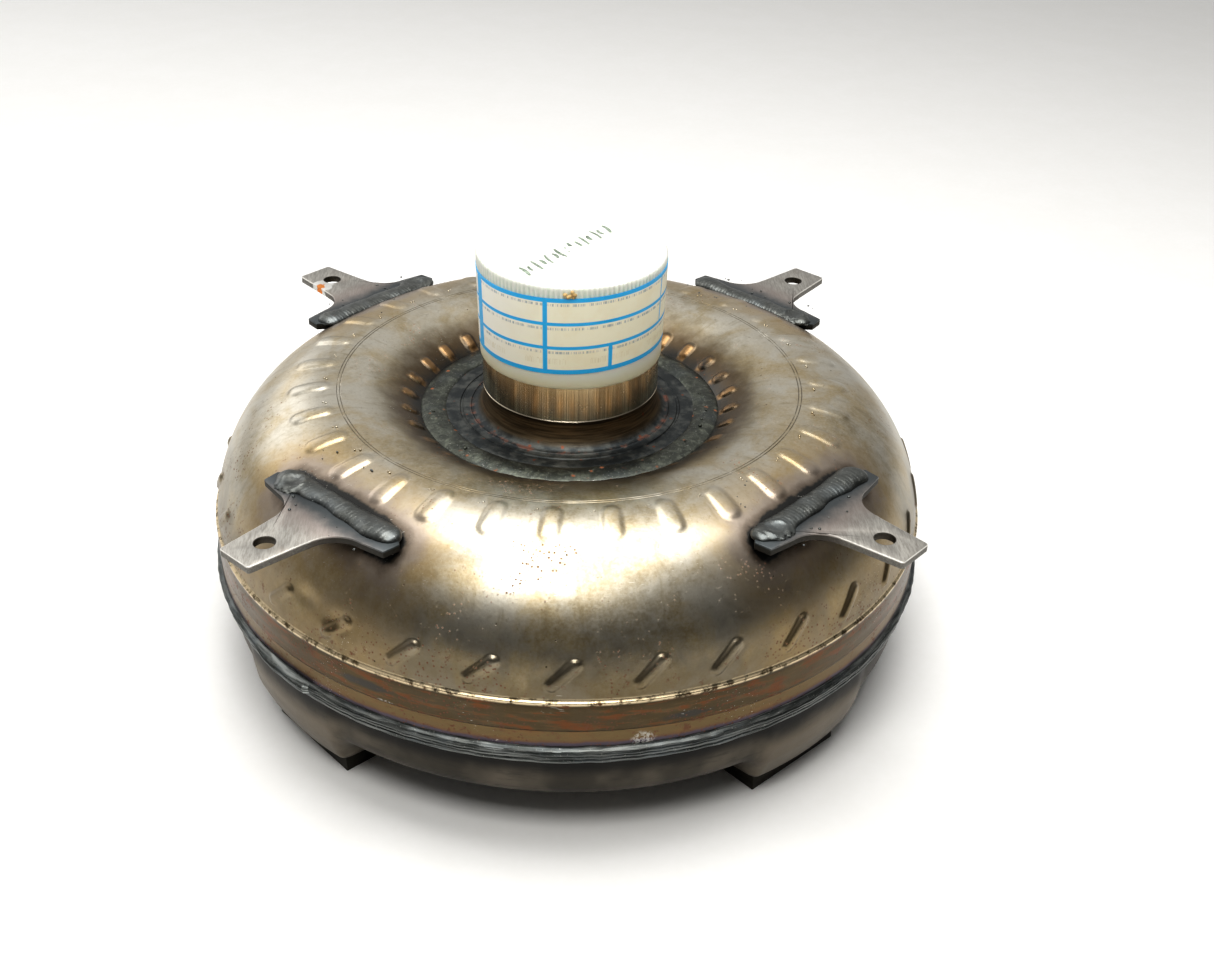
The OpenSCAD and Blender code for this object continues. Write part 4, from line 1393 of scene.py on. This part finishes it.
@dataclass
class Hub:
    """Forged hub with its journal, hollow neck, flange and pump drive slots, and the weld round it."""

    neck_half_r: float = 6.7
    neck_half_h: float = 12.6
    bore_r: float = 33
    slot_width: float = 10
    slot_depth: float = 9
    groove_r: float = 51.6
    columns: int = 360

    def build(self, look: bpy.types.Material) -> None:
        """Builds and hangs the hub.

        Args:
            look: The hub's steel.
        """
        low, high = span("impeller_hub")
        cap_low = span("hub_cap")[0].z
        hub_r, tip_r = 41.8, 41.2
        neck_top = FLANGE_Z + self.neck_half_h
        foot_r = hub_r + 5.7
        fillet = arc((foot_r, neck_top), self.neck_half_r, self.neck_half_h, 270, 185, 16)
        groove = self.groove_r
        profile = [(self.bore_r, low.z), (high.x, low.z), (high.x, 121.5), (60, FLANGE_Z - 0.1)]
        profile += [(57, FLANGE_Z), (groove + 1.7, FLANGE_Z), (groove + 1.3, FLANGE_Z - 0.45)]
        profile += [(groove + 0.4, FLANGE_Z - 0.5), (groove, FLANGE_Z)]
        profile += [(foot_r + 1.2, FLANGE_Z), (foot_r + 0.5, FLANGE_Z + 0.35)] + fillet
        profile += [(hub_r - 0.62, JOURNAL_Z - 0.5), (hub_r - 0.15, JOURNAL_Z - 0.12)]
        profile += [(hub_r, JOURNAL_Z + 0.02), (hub_r - 0.30, JOURNAL_Z + 0.42), (hub_r, JOURNAL_Z + 0.62)]
        profile += [(hub_r, cap_low - 0.4), (tip_r, cap_low), (tip_r, high.z - 1.5)]
        profile += [(tip_r - 0.4, high.z - 0.6), (tip_r - 1.5, high.z)]
        profile += [(self.bore_r + 1.2, high.z), (self.bore_r, high.z - 1)]
        hub = Shape.lathe("hub_forging", profile, self.columns)
        box = bmesh.new()
        size = Matrix.Diagonal((2.4 * hub_r * MM, self.slot_width * MM, 2 * self.slot_depth * MM, 1))
        bmesh.ops.create_cube(box, size=1, matrix=Matrix.Translation((0, 0, high.z * MM)) @ size)
        mesh = bpy.data.meshes.new("slot_cutter")
        box.to_mesh(mesh)
        box.free()
        Shape.carve(hub, Shape.link("slot_cutter", mesh))
        hub.data.set_sharp_from_angle(angle=math.radians(30))
        hang(hub, "housing", "hub_steel", look, "impeller_hub")

    def build_weld(self, look: bpy.types.Material) -> None:
        """Builds and hangs the rippled weld ring round the flange, with its spatter.

        Args:
            look: The weld's steel.
        """
        high = span("hub_weld")[1]
        columns, rows = 900, 22
        angles = np.linspace(0, TAU, columns, endpoint=False)
        share = np.linspace(0, 1, rows)[:, None]
        inner, outer = 59.6, high.x + 0.9
        edge = Wobble(41, (5, 9, 15, 23), 0.14).at(angles)[None, :]
        radius = inner + (outer - inner) * share + edge * np.abs(2 * share - 1)
        base = FLANGE_Z - 0.25 - 0.35 * ease(share, 0.5, 1.0)
        crown = 1.45 * np.sqrt(np.clip(1 - (2 * share - 1) ** 2, 0, 1))
        drift = 2.0 * Wobble(42, (3, 5, 8), 1).at(angles)[None, :]
        ripple = 0.035 * np.sin(150 * (angles[None, :] + 0.035 * (2 * share - 1) ** 2) + drift)
        lumps = Wobble(43, (7, 12, 19, 29), 0.08).at(angles)[None, :]
        lumps = lumps + 0.03 * np.sin(9 * share + 31 * angles[None, :])
        tall = base + crown + (ripple + lumps) * ease(share, 0, 0.3) * ease(share, 1, 0.6)
        under = [(outer - 1.5, 120.5), (66, 118.5), (inner + 1.5, 121.8)]
        ring = Shape.skin("hub_weld_ring", radius, tall, under, 60)
        draw = np.random.default_rng(44)
        count = 42
        turns, reach = draw.uniform(0, TAU, count), draw.uniform(61, 73, count)
        sizes = draw.uniform(0.35, 1.0, count) * draw.uniform(0.6, 1.0, count)
        level = 125.0 - 2.2 * np.abs(reach - 65.5) / 6
        middles = np.stack([reach * np.cos(turns), reach * np.sin(turns), level], axis=1)
        drops = Shape.beads("drops", middles, sizes, 0.8)
        hang(Shape.join("hub_weld_ring", [ring, drops]), "housing", "weld", look, "hub_weld")


@dataclass
class Lugs:
    """Four T-shaped mounting lugs with their weld beads and spatter."""

    tip_u: float = 196.0
    tip_w: float = 9.6
    hole_u: float = LUG_HOLE_U
    hole_r: float = 4.55
    thick: float = 3.5
    bead_u: float = 142.6
    bead_half: float = 34.0

    def outline(self) -> list[Point]:
        """Draws a lug with its stem along X.

        Returns:
            The outline's corners.
        """
        half = [(self.tip_u, self.tip_w - 0.8), (self.tip_u - 0.8, self.tip_w), (171.0, 12.0)]
        half += [(x, y) for x, y in arc((168.5, 27.5), 15, 15, 268, 182, 18)]
        half += [(151.4, 39.4), (143.5, 40.3), (136.5, 32.0)]
        return half + [(x, -y) for x, y in reversed(half)]

    def bead(self, seed: int) -> np.ndarray:
        """Rows of points of one bead, lying across the bar of a lug with its stem along X.

        Args:
            seed: Makes each bead a little different.

        Returns:
            A (rows, columns, 3) array of points in millimetres.
        """
        top = span("mounting_lug_1")[1].z
        draw = np.random.default_rng(seed)
        phases = draw.uniform(0, TAU, 6)
        rows, columns = 240, 40
        v = np.linspace(-self.bead_half - 4.5, self.bead_half + 4.0, rows)[:, None]
        around = np.linspace(0, TAU, columns, endpoint=False)[None, :]
        slow = np.sin(v / 7 + phases[0]) + 0.7 * np.sin(v / 3.1 + phases[1])
        left = 1 - np.clip((v + self.bead_half + 4.5) / 6, 0, 1)
        right = 1 - np.clip((self.bead_half + 4.0 - v) / 7, 0, 1)
        taper = np.sqrt(np.clip((1 - left ** 2) * (1 - right ** 2), 0.0004, 1))
        blob = np.exp(-((v + self.bead_half - 6.5) / 6.2) ** 4)
        crater = np.exp(-((v + self.bead_half - 6.5) / 3.6) ** 2)
        wide = (draw.uniform(5.0, 6.0) + 0.35 * slow + 2.4 * blob + 0.9 * ease(v, 4, 30)) * taper
        tall = (2.5 + 0.2 * np.sin(v / 5 + phases[2]) - 0.4 * blob + 0.8 * ease(v, 4, 30)) * taper
        ripple = 0.035 * np.sin(v * 3.3 + 1.1 * np.cos(2 * around) + phases[3]) * (1 - blob)
        rough = 0.07 * np.sin(v * 0.6 + 3 * around + phases[4])
        rough = rough + 0.03 * np.sin(v * 1.6 - 2 * around + phases[5])
        rim = 1 + 0.07 * blob * np.sin(9 * around + phases[4]) * np.sin(v * 1.7)
        u = self.bead_u + 1.6 * blob + 0.25 * slow + (wide + ripple + rough) * rim * np.cos(around)
        squash = np.where(np.sin(around) > 0, 1 - 0.42 * crater * np.abs(np.sin(around)) ** 3, 1.0)
        z = top - 0.2 + (tall + (ripple + rough) * taper) * np.sin(around) * squash
        reach = np.hypot((u - self.bead_u - 1.6) / 1.15, (v + self.bead_half - 6.5) / 1.3)
        lumpy = 1 + 0.3 * np.sin(5 * np.arctan2(v + self.bead_half - 6.5, u - self.bead_u) + phases[3])
        z = z + (np.sin(around) > 0.2) * 0.42 * lumpy * np.exp(-(((reach - 4.1) / 0.75) ** 2))
        return np.stack([u, np.broadcast_to(v, u.shape), z], axis=-1)

    def build(self, steel: bpy.types.Material, weld: bpy.types.Material) -> None:
        """Builds and hangs the plates and all their beads.

        Args:
            steel: The plates' steel.
            weld: The beads' steel.
        """
        top = span("mounting_lug_1")[1].z
        plate = Plate(self.outline(), (self.hole_u, 0, self.hole_r), top - self.thick, top, 0.42)
        beads = []
        draw = np.random.default_rng(61)
        for k in range(4):
            degrees = 45 + 90 * k
            lug = plate.build(f"lug_plate_{k + 1}", degrees)
            hang(lug, "housing", "lug_steel", steel, f"mounting_lug_{k + 1}")
            turn = math.radians(degrees)
            cos, sin = math.cos(turn), math.sin(turn)
            spin = np.array([[cos, sin, 0], [-sin, cos, 0], [0, 0, 1]])
            beads.append(Shape.grid("bead", self.bead(70 + k) @ spin, False, 60))
            count = 11
            u, v = draw.uniform(146, 160, count), draw.uniform(-30, 30, count)
            z = np.full(count, top + 0.1)
            middles = np.stack([u, v, z], axis=1) @ spin
            beads.append(Shape.beads("drops", middles, draw.uniform(0.25, 0.75, count)))
            u, v = draw.uniform(118, 134, count), draw.uniform(-34, 34, count)
            r = np.hypot(u, v)
            z = 75 + 62.5 * np.sqrt(1 - ((r - 113) / 58.4) ** 2)
            middles = np.stack([u, v, z], axis=1) @ spin
            beads.append(Shape.beads("drops", middles, draw.uniform(0.2, 0.6, count)))
        hang(Shape.join("lug_weld_beads", beads), "housing", "weld", weld, "lug_welds")


@dataclass
class FrontCover:
    """Engine-side cover: a dished plate whose rim swells into four pads."""

    first_pad: float = 40
    pad_half: float = 30.5
    columns: int = 1080
    rows: int = 64
    spigot_r: float = 15

    def build(self, look: bpy.types.Material) -> None:
        """Builds and hangs the cover.

        Args:
            look: The cover's steel.
        """
        block_top = span("mounting_block_1")[1].z
        wall_r, flat = 170.0, block_top + 1
        corner = arc((158, 33.5), 10.5, 10.5, -60, 0, 10)
        base = [(122, flat), (138, flat)] + corner + [(wall_r - 1.5, 42), (wall_r - 1.2, 50), (wall_r, 51)]
        bulge = [(122, flat), (126.5, block_top + 0.6), (129, block_top), (160.5, block_top)]
        bulge += arc((160.5, block_top + 5), 5, 5, -80, -20, 5)
        bulge += [(167.6, 19.5), (169.0, 24), (169.9, 31), (wall_r, 38), (wall_r, 51)]
        share = np.linspace(0, 1, self.rows)
        rim = resample(base, share * path_length(base))
        pad = resample(bulge, share * path_length(bulge))
        angles = np.linspace(0, TAU, self.columns, endpoint=False)
        turn = np.radians((np.degrees(angles) - self.first_pad + 45) % 90 - 45)
        aside = np.abs(pad[:, :1] * np.sin(turn)[None, :])
        weight = ease(aside, self.pad_half + 10.0, self.pad_half - 2.0)
        radius = rim[:, :1] * (1 - weight) + pad[:, :1] * weight
        tall = rim[:, 1:] * (1 - weight) + pad[:, 1:] * weight
        ripple = Wobble(81, (2, 3, 5, 8), 0.15).at(angles)[None, :]
        tall = tall + ripple * ease(rim[:, 1:], 51, 40) * ease(rim[:, 1:], 12, 20)
        back = [(168.3, 51), (168.3, 60), (165, 60), (165, 32)] + arc((158, 32), 7, 7, 0, -60, 8)
        back += [(143, block_top + 5), (80, block_top + 5), (self.spigot_r, block_top + 5)]
        back += [(self.spigot_r, flat), (40, flat), (60, flat), (61.2, flat + 0.5), (64.8, flat + 0.5)]
        back += [(66, flat), (100, flat)]
        plate = Shape.skin("front_cover_steel", radius, tall, back)
        hang(plate, "housing", "cover_steel", look, "front_cover")

    def build_boss(self, look: bpy.types.Material) -> None:
        """Builds and hangs the turned pilot boss with its centre hole.

        Args:
            look: Turned steel.
        """
        low, high = span("pilot_boss")
        r = high.x
        profile = [(0.01, low.z + 6), (7.2, low.z + 6), (8, low.z + 5.2), (8, low.z + 1), (8.8, low.z)]
        profile += [(r - 1.2, low.z)] + arc((r - 1.2, low.z + 1.2), 1.2, 1.2, -70, 0, 5)
        profile += [(r, low.z + 5.4), (r - 0.5, low.z + 5.8), (r - 0.5, low.z + 6.6), (r, low.z + 7)]
        profile += [(r, low.z + 8), (self.spigot_r, low.z + 8), (self.spigot_r, high.z), (0.01, high.z)]
        boss = Shape.lathe("pilot_boss_turned", profile, 160, False)
        hang(boss, "housing", "turned_steel", look, "pilot_boss")


@dataclass
class Blocks:
    """Four threaded blocks under the cover's pads."""

    inner_x: float = 132
    outer_x: float = 158
    half_y: float = 27.5
    hole_r: float = 4.25
    first: float = 40

    def build(self, look: bpy.types.Material) -> None:
        """Builds and hangs the blocks.

        Args:
            look: The blocks' steel.
        """
        low, high = span("mounting_block_1")
        near, far, half = self.inner_x, self.outer_x, self.half_y
        corners = [(near, -half), (far, -half), (far, half), (near, half)]
        middle = (self.inner_x + self.outer_x) / 2
        plate = Plate(corners, (middle, 0, self.hole_r), low.z, high.z, 0.5)
        for k in range(4):
            block = plate.build(f"threaded_block_{k + 1}", self.first + 90 * k)
            hang(block, "housing", "block_steel", look, f"mounting_block_{k + 1}")


@dataclass
class HubCap:
    """Plastic cap on the hub, with fine ribs under its top edge, its label, pen ticks and a crumb of glue."""

    wall: float = 1.53
    ribs: int = CAP_RIBS
    label_thick: float = 0.2
    label_start: float = 174
    label_sweep: float = 200
    label_lean: float = 1.5
    tick_count: int = 15
    tick_run: float = 31.0

    def side_r(self, z: np.ndarray | float) -> np.ndarray | float:
        """Outer radius of the cap at a height, in millimetres."""
        low, high = span("hub_cap")
        return CAP_MOUTH_R + (high.x - CAP_MOUTH_R) * (z - low.z) / (high.z - 1.5 - low.z)

    def build(self, look: bpy.types.Material) -> None:
        """Builds and hangs the cap.

        Args:
            look: The cap's plastic.
        """
        low, high = span("hub_cap")
        columns = self.ribs * 8
        angles = np.linspace(0, TAU, columns, endpoint=False)
        side = np.linspace(low.z + 0.5, high.z - 1.6, 44)
        outline = [(self.side_r(low.z) - 0.8, low.z), (self.side_r(low.z) - 0.15, low.z + 0.12)]
        outline += [(self.side_r(z), z) for z in side]
        outline += [(high.x - 0.12, high.z - 0.6), (high.x - 0.5, high.z - 0.15), (high.x - 1.1, high.z)]
        outline += [(high.x - 4.0, high.z), (high.x - 4.6, high.z - 0.35)]
        outline += [(r, high.z - 0.4) for r in (30, 10, 3.0)] + [(2.2, high.z - 0.1), (0.6, high.z)]
        inner_r, inner_z = CAP_MOUTH_R - self.wall, high.z - 2.2
        under = [(inner_r, low.z + 0.4), (inner_r, low.z + 20), (inner_r, inner_z - 1.5)]
        under += [(inner_r - 1.5, inner_z), (0.6, inner_z)]
        line = np.array(list(reversed(under)) + outline)
        radius = np.broadcast_to(line[:, :1], (len(line), columns)).copy()
        tall = np.broadcast_to(line[:, 1:], radius.shape)
        outside = (np.arange(len(line)) >= len(under) + 1)[:, None] & (line[:, :1] > high.x - 1.0)
        groove = ease(tall, low.z + 36, low.z + 42) * outside
        radius -= 0.5 * groove * (0.5 + 0.5 * np.cos(self.ribs * angles)) ** 0.7
        shell = Shape.grid("cap_shell", Shape.turn(radius, tall, angles), False)
        hang(shell, "cap", "cap_plastic", look, "hub_cap")

    def build_label(self, look: bpy.types.Material) -> None:
        """Builds and hangs the paper label, put on slightly askew.

        Args:
            look: The label's paper.
        """
        low, high = span("cap_label")
        turns = np.radians(self.label_start + np.linspace(0, self.label_sweep, 201))[:, None]
        drift = self.label_lean * np.sin(turns + math.radians(98))
        rows = np.linspace(low.z, high.z, 14)[None, :] + drift
        lift = Wobble(91, (3, 7, 12), 0.03).at(turns) + 0.05
        inner = np.asarray(self.side_r(rows)) - 0.05
        outer = inner + self.label_thick + lift
        radius = np.concatenate([outer, inner[:, ::-1]], axis=1)
        tall = np.concatenate([rows, rows[:, ::-1]], axis=1)
        points = np.stack([radius * np.cos(turns), radius * np.sin(turns), tall], axis=-1)
        hang(Shape.grid("label_sheet", points, False, 50), "cap", "label_paper", look, "cap_label")

    def build_marks(self, ink: bpy.types.Material, glue: bpy.types.Material) -> None:
        """Builds and hangs the faded pen ticks on top and the crumb of glue on the side.

        Args:
            ink: The pen's ink.
            glue: The dried glue.
        """
        high = span("hub_cap")[1]
        strokes = []
        for number in range(self.tick_count):
            share = 2 * number / (self.tick_count - 1) - 1
            middle = np.array([-2.5, -1.0]) + np.array([0.62, 0.78]) * self.tick_run * share
            reach = np.linspace(-1, 1, 12)[:, None] * (3.8 + 1.1 * math.cos(3.1 * number))
            bow = (1 - np.linspace(-1, 1, 12)[:, None] ** 2) * 0.8 * math.sin(2.7 * number + 1)
            lean = np.array([-0.50 + 0.1 * math.sin(1.9 * number), 0.86])
            path = middle + reach * lean + bow * np.array([0.86, 0.50])
            slope = np.gradient(path, axis=0)
            aside = np.stack([-slope[:, 1], slope[:, 0]], axis=1) / np.hypot(*slope.T)[:, None]
            press = 0.7 + 0.3 * math.cos(2.3 * number)
            wide = (0.40 + 0.62 * np.sin(np.linspace(0.25, math.pi - 0.2, 12)) * press)[:, None]
            level = high.z - 0.4
            ring = [
                np.column_stack([path + aside * wide * side, np.full(12, level + lift)])
                for side, lift in ((-1, -0.1), (1, -0.1), (1, 0.06), (-1, 0.06))
            ]
            strokes.append(Shape.grid("stroke", np.stack(ring, axis=1), False))
        hang(Shape.join("cap_pen_ticks", strokes), "cap", "cap_plastic", ink)
        rng = np.random.default_rng(95)
        middle = np.array([-0.7, -float(self.side_r(201.4)) - 0.3, 201.2])
        lumps = middle + rng.normal(0, 1, (9, 3)) * np.array([1.25, 0.2, 0.9])
        hang(Shape.beads("cap_glue_crumb", lumps, rng.uniform(0.6, 1.25, 9), 0.9), "cap", "label_paper", glue)


class Inner(Enum):
    """Finishes of the pieces inside, each with the CAD nodes that wear it."""

    BLADE = (
        PlainMetal("blade_steel_look", (0.50, 0.48, 0.43), (0.30, 0.26, 0.20), 0.34),
        ("impeller_blades", "impeller_core_ring", "turbine_shell", "turbine_blades", "turbine_core_ring",
         "spring_retainer"),
    )
    TURNED = (
        PlainMetal("turned_steel_look", (0.48, 0.47, 0.44), (0.26, 0.24, 0.20), 0.28, 0.8, 1.2),
        ("turbine_hub", "damper_drive_ring", "lockup_piston"),
    )
    RIVET = (
        PlainMetal("rivet_steel_look", (0.55, 0.53, 0.49), (0.30, 0.27, 0.22), 0.32, 0.6),
        ("turbine_rivets", "retainer_rivets"),
    )
    SPRING = (
        PlainMetal("spring_steel_look", (0.20, 0.21, 0.22), (0.08, 0.08, 0.08), 0.30, 0.7),
        ("damper_springs", "roller_springs", "stator_snap_rings"),
    )
    ALUMINIUM = (
        PlainMetal("cast_aluminium_look", (0.72, 0.73, 0.73), (0.50, 0.50, 0.49), 0.46, 1.6, 0.0, 1.0, 0.16),
        ("stator_wheel",),
    )
    RACE = (
        PlainMetal("race_steel_look", (0.56, 0.57, 0.58), (0.38, 0.38, 0.38), 0.20, 0.5, 0.8),
        ("clutch_outer_race", "clutch_inner_race", "front_side_plate", "rear_side_plate",
         "front_bearing_lower_race", "front_bearing_upper_race", "rear_bearing_lower_race",
         "rear_bearing_upper_race"),
    )
    ROLLER = (
        PlainMetal("roller_steel_look", (0.74, 0.75, 0.76), (0.55, 0.55, 0.55), 0.12, 0.4, 0.0, 1.0, 0.01),
        ("clutch_rollers", "front_bearing_needles", "rear_bearing_needles"),
    )
    BRONZE = (
        PlainMetal("bronze_look", (0.55, 0.36, 0.15), (0.32, 0.19, 0.08), 0.34, 0.8, 0.5),
        ("front_bearing_cage", "rear_bearing_cage", "front_thrust_washer"),
    )
    LINING = (
        SoftMatter("friction_lining_look", (0.17, 0.12, 0.065), (0.28, 0.20, 0.11), 0.78, 0.5, 0.12),
        ("friction_lining",),
    )
    SEAL = (
        SoftMatter("seal_look", (0.012, 0.012, 0.013), (0.03, 0.03, 0.03), 0.38, 0.8, 0.03),
        ("piston_seal_ring",),
    )

    def dress(self) -> None:
        """Gives every node of this finish its material."""
        finish, nodes = self.value
        look = finish.material()
        for name in nodes:
            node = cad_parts[name]
            for slot in node.material_slots:
                slot.material = look
        LOG.info("%s on %d inner nodes", look.name, len(nodes))


# ---------------------------------------------------------------- studio


@dataclass
class Studio:
    """Pale floor, soft lights and the camera."""

    eye: tuple[float, float, float] = (-0.01981, -0.64325, 0.48290)
    azimuth: float = -3.448
    elevation: float = 31.975
    roll: float = 1.596
    lens: float = 44.98

    def build(self) -> None:
        """Builds the whole studio."""
        self.floor()
        self.air()
        soft, warm = (1.0, 0.985, 0.96), (1.0, 0.985, 0.95)
        self.lamp("ceiling_light", (0.02, 0.03, 1.25), (0.0, 0.0, 0.1), (1.05, 0.72), 11.5, soft)
        self.lamp("front_light", (-0.16, -0.70, 1.30), (-0.02, 0.0, 0.12), (0.72, 0.5), 7.7, warm)
        self.lamp("left_light", (-1.0, 1.05, 0.72), (0.0, 0.0, 0.1), (0.9, 0.7), 2.7, (1.0, 0.99, 0.98))
        self.camera()
        view = bpy.context.scene.view_settings
        view.view_transform = "Standard"
        view.look = "Medium High Contrast"
        view.exposure = 0.08

    def floor(self) -> None:
        """A wide sheet of white paper, very slightly uneven."""
        steps, half = 61, 6000.0
        line = np.linspace(-half, half, steps)
        x, y = np.meshgrid(line, line)
        z = -0.05 - 0.02 * (1 + np.sin(x / 310) * np.cos(y / 270)) * (np.hypot(x, y) > 300)
        points = np.stack([x, y, z], axis=-1).reshape(-1, 3)
        numbers = np.arange(steps * steps).reshape(steps, steps)
        quads = np.stack([numbers[:-1, :-1], numbers[:-1, 1:], numbers[1:, 1:], numbers[1:, :-1]], axis=-1)
        sheet = Shape.raw("studio_floor", points + np.array([0, 0, 10.0]), [quads.reshape(-1, 4)])
        sheet.location.z = -10 * MM
        look = SoftMatter("studio_paper", (0.88, 0.88, 0.87), (0.90, 0.90, 0.895), 0.85, 4.0, 0.01)
        sheet.data.materials.append(look.material())

    def air(self) -> None:
        """Room light: bright behind and above, dim in front."""
        world = bpy.data.worlds.new("studio_air")
        world.use_nodes = True
        bpy.context.scene.world = world
        book = NodeBook(world.node_tree)
        way = book.node("ShaderNodeTexCoord", output="Generated")
        x, y, z = (book.node("ShaderNodeSeparateXYZ", None, {0: way}, axis) for axis in "XYZ")
        light = 0.05 + 0.47 * (y - x * 0.3).ease(-0.25, 0.8) + 0.15 * z.ease(0.3, 0.9)
        seen = book.node("ShaderNodeLightPath", output="Is Camera Ray")
        strength = light * (1 - seen) + seen
        glow = book.node("ShaderNodeBackground", None, {"Color": (1.0, 0.99, 0.97), "Strength": strength})
        book.node("ShaderNodeOutputWorld", None, {0: glow})

    def lamp(
        self, name: str, place: tuple[float, float, float], aim: tuple[float, float, float],
        size: tuple[float, float], power: float, colour: Colour,
    ) -> None:
        """Adds a rectangular soft light.

        Args:
            name: The lamp's name.
            place: Where it hangs, in metres.
            aim: The point that it faces.
            size: Its width and depth, in metres.
            power: Its power in watts.
            colour: Its colour.
        """
        light = bpy.data.lights.new(name, "AREA")
        light.shape = "RECTANGLE"
        light.size, light.size_y = size
        light.energy = power
        light.color = colour
        lamp = bpy.data.objects.new(name, light)
        lamp.location = place
        lamp.rotation_euler = (Vector(place) - Vector(aim)).to_track_quat("Z", "Y").to_euler()
        bpy.context.scene.collection.objects.link(lamp)

    def camera(self) -> None:
        """Adds the camera, from its place, direction, roll and lens."""
        a, e, r = (math.radians(v) for v in (self.azimuth, self.elevation, self.roll))
        back = Vector((math.sin(a) * math.cos(e), -math.cos(a) * math.cos(e), math.sin(e)))
        right = Vector((math.cos(a), math.sin(a), 0))
        up = back.cross(right)
        right, up = math.cos(r) * right + math.sin(r) * up, math.cos(r) * up - math.sin(r) * right
        lens = bpy.data.cameras.new("studio_camera")
        lens.lens = self.lens
        lens.sensor_width = 36
        lens.clip_start = 0.02
        camera = bpy.data.objects.new("studio_camera", lens)
        camera.matrix_world = Matrix.Translation(self.eye) @ Matrix((right, up, back)).transposed().to_4x4()
        bpy.context.scene.collection.objects.link(camera)
        bpy.context.scene.camera = camera


def main() -> None:
    """Builds the studio and every sub-assembly in order."""
    logging.basicConfig(level=logging.INFO, format="%(name)s: %(message)s")
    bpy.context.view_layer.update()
    Studio().build()
    for inner in Inner:
        inner.dress()
    seam_low, seam_high = span("seam_weld")
    seam_look = WeldSteel(
        "seam_weld_look", lines=True, low_z=seam_low.z, height=seam_high.z - seam_low.z, rust_share=0.2,
        dark=(0.055, 0.06, 0.058), light=(0.24, 0.25, 0.24),
    )
    hub_weld_look = WeldSteel(
        "hub_weld_look", rust_share=0.75, relief=0.05, spread=0.7,
        dark=(0.060, 0.064, 0.056), light=(0.29, 0.31, 0.25), tint=(0.07, 0.08, 0.085),
    )
    lug_weld_look = WeldSteel("lug_weld_look", roughness=0.26, rust_share=0.3, relief=0.03, spread=0.9)
    boss_look = PlainMetal("pilot_boss_look", (0.50, 0.48, 0.44), (0.28, 0.25, 0.20), 0.30, 0.8, 1.2)
    block_look = PlainMetal("block_steel_look", (0.045, 0.042, 0.034), (0.020, 0.018, 0.015), 0.42, 1.0)
    ImpellerShell().build(ShellSteel().material())
    SeamWeld().build(seam_look.material())
    hub = Hub()
    hub.build(HubSteel(JOURNAL_Z, FLANGE_Z).material())
    hub.build_weld(hub_weld_look.material())
    Lugs().build(LugSteel().material(), lug_weld_look.material())
    cover = FrontCover()
    cover.build(CoverSteel().material())
    cover.build_boss(boss_look.material())
    Blocks().build(block_look.material())
    cap = HubCap()
    cap_low, cap_high = span("hub_cap")
    label_low = span("cap_label")[0]
    cap.build(CapPlastic(cap_low.z, cap_high.z).material())
    cap.build_label(LabelPaper(label_low.z, cap.label_lean).material())
    cap.build_marks(
        SoftMatter("pen_ink_look", (0.045, 0.075, 0.05), (0.42, 0.50, 0.40), 0.55, 1.2).material(),
        SoftMatter("glue_crumb_look", (0.66, 0.48, 0.22), (0.42, 0.26, 0.10), 0.5, 0.5, 0.1).material(),
    )


if __name__ == "__main__":
    main()
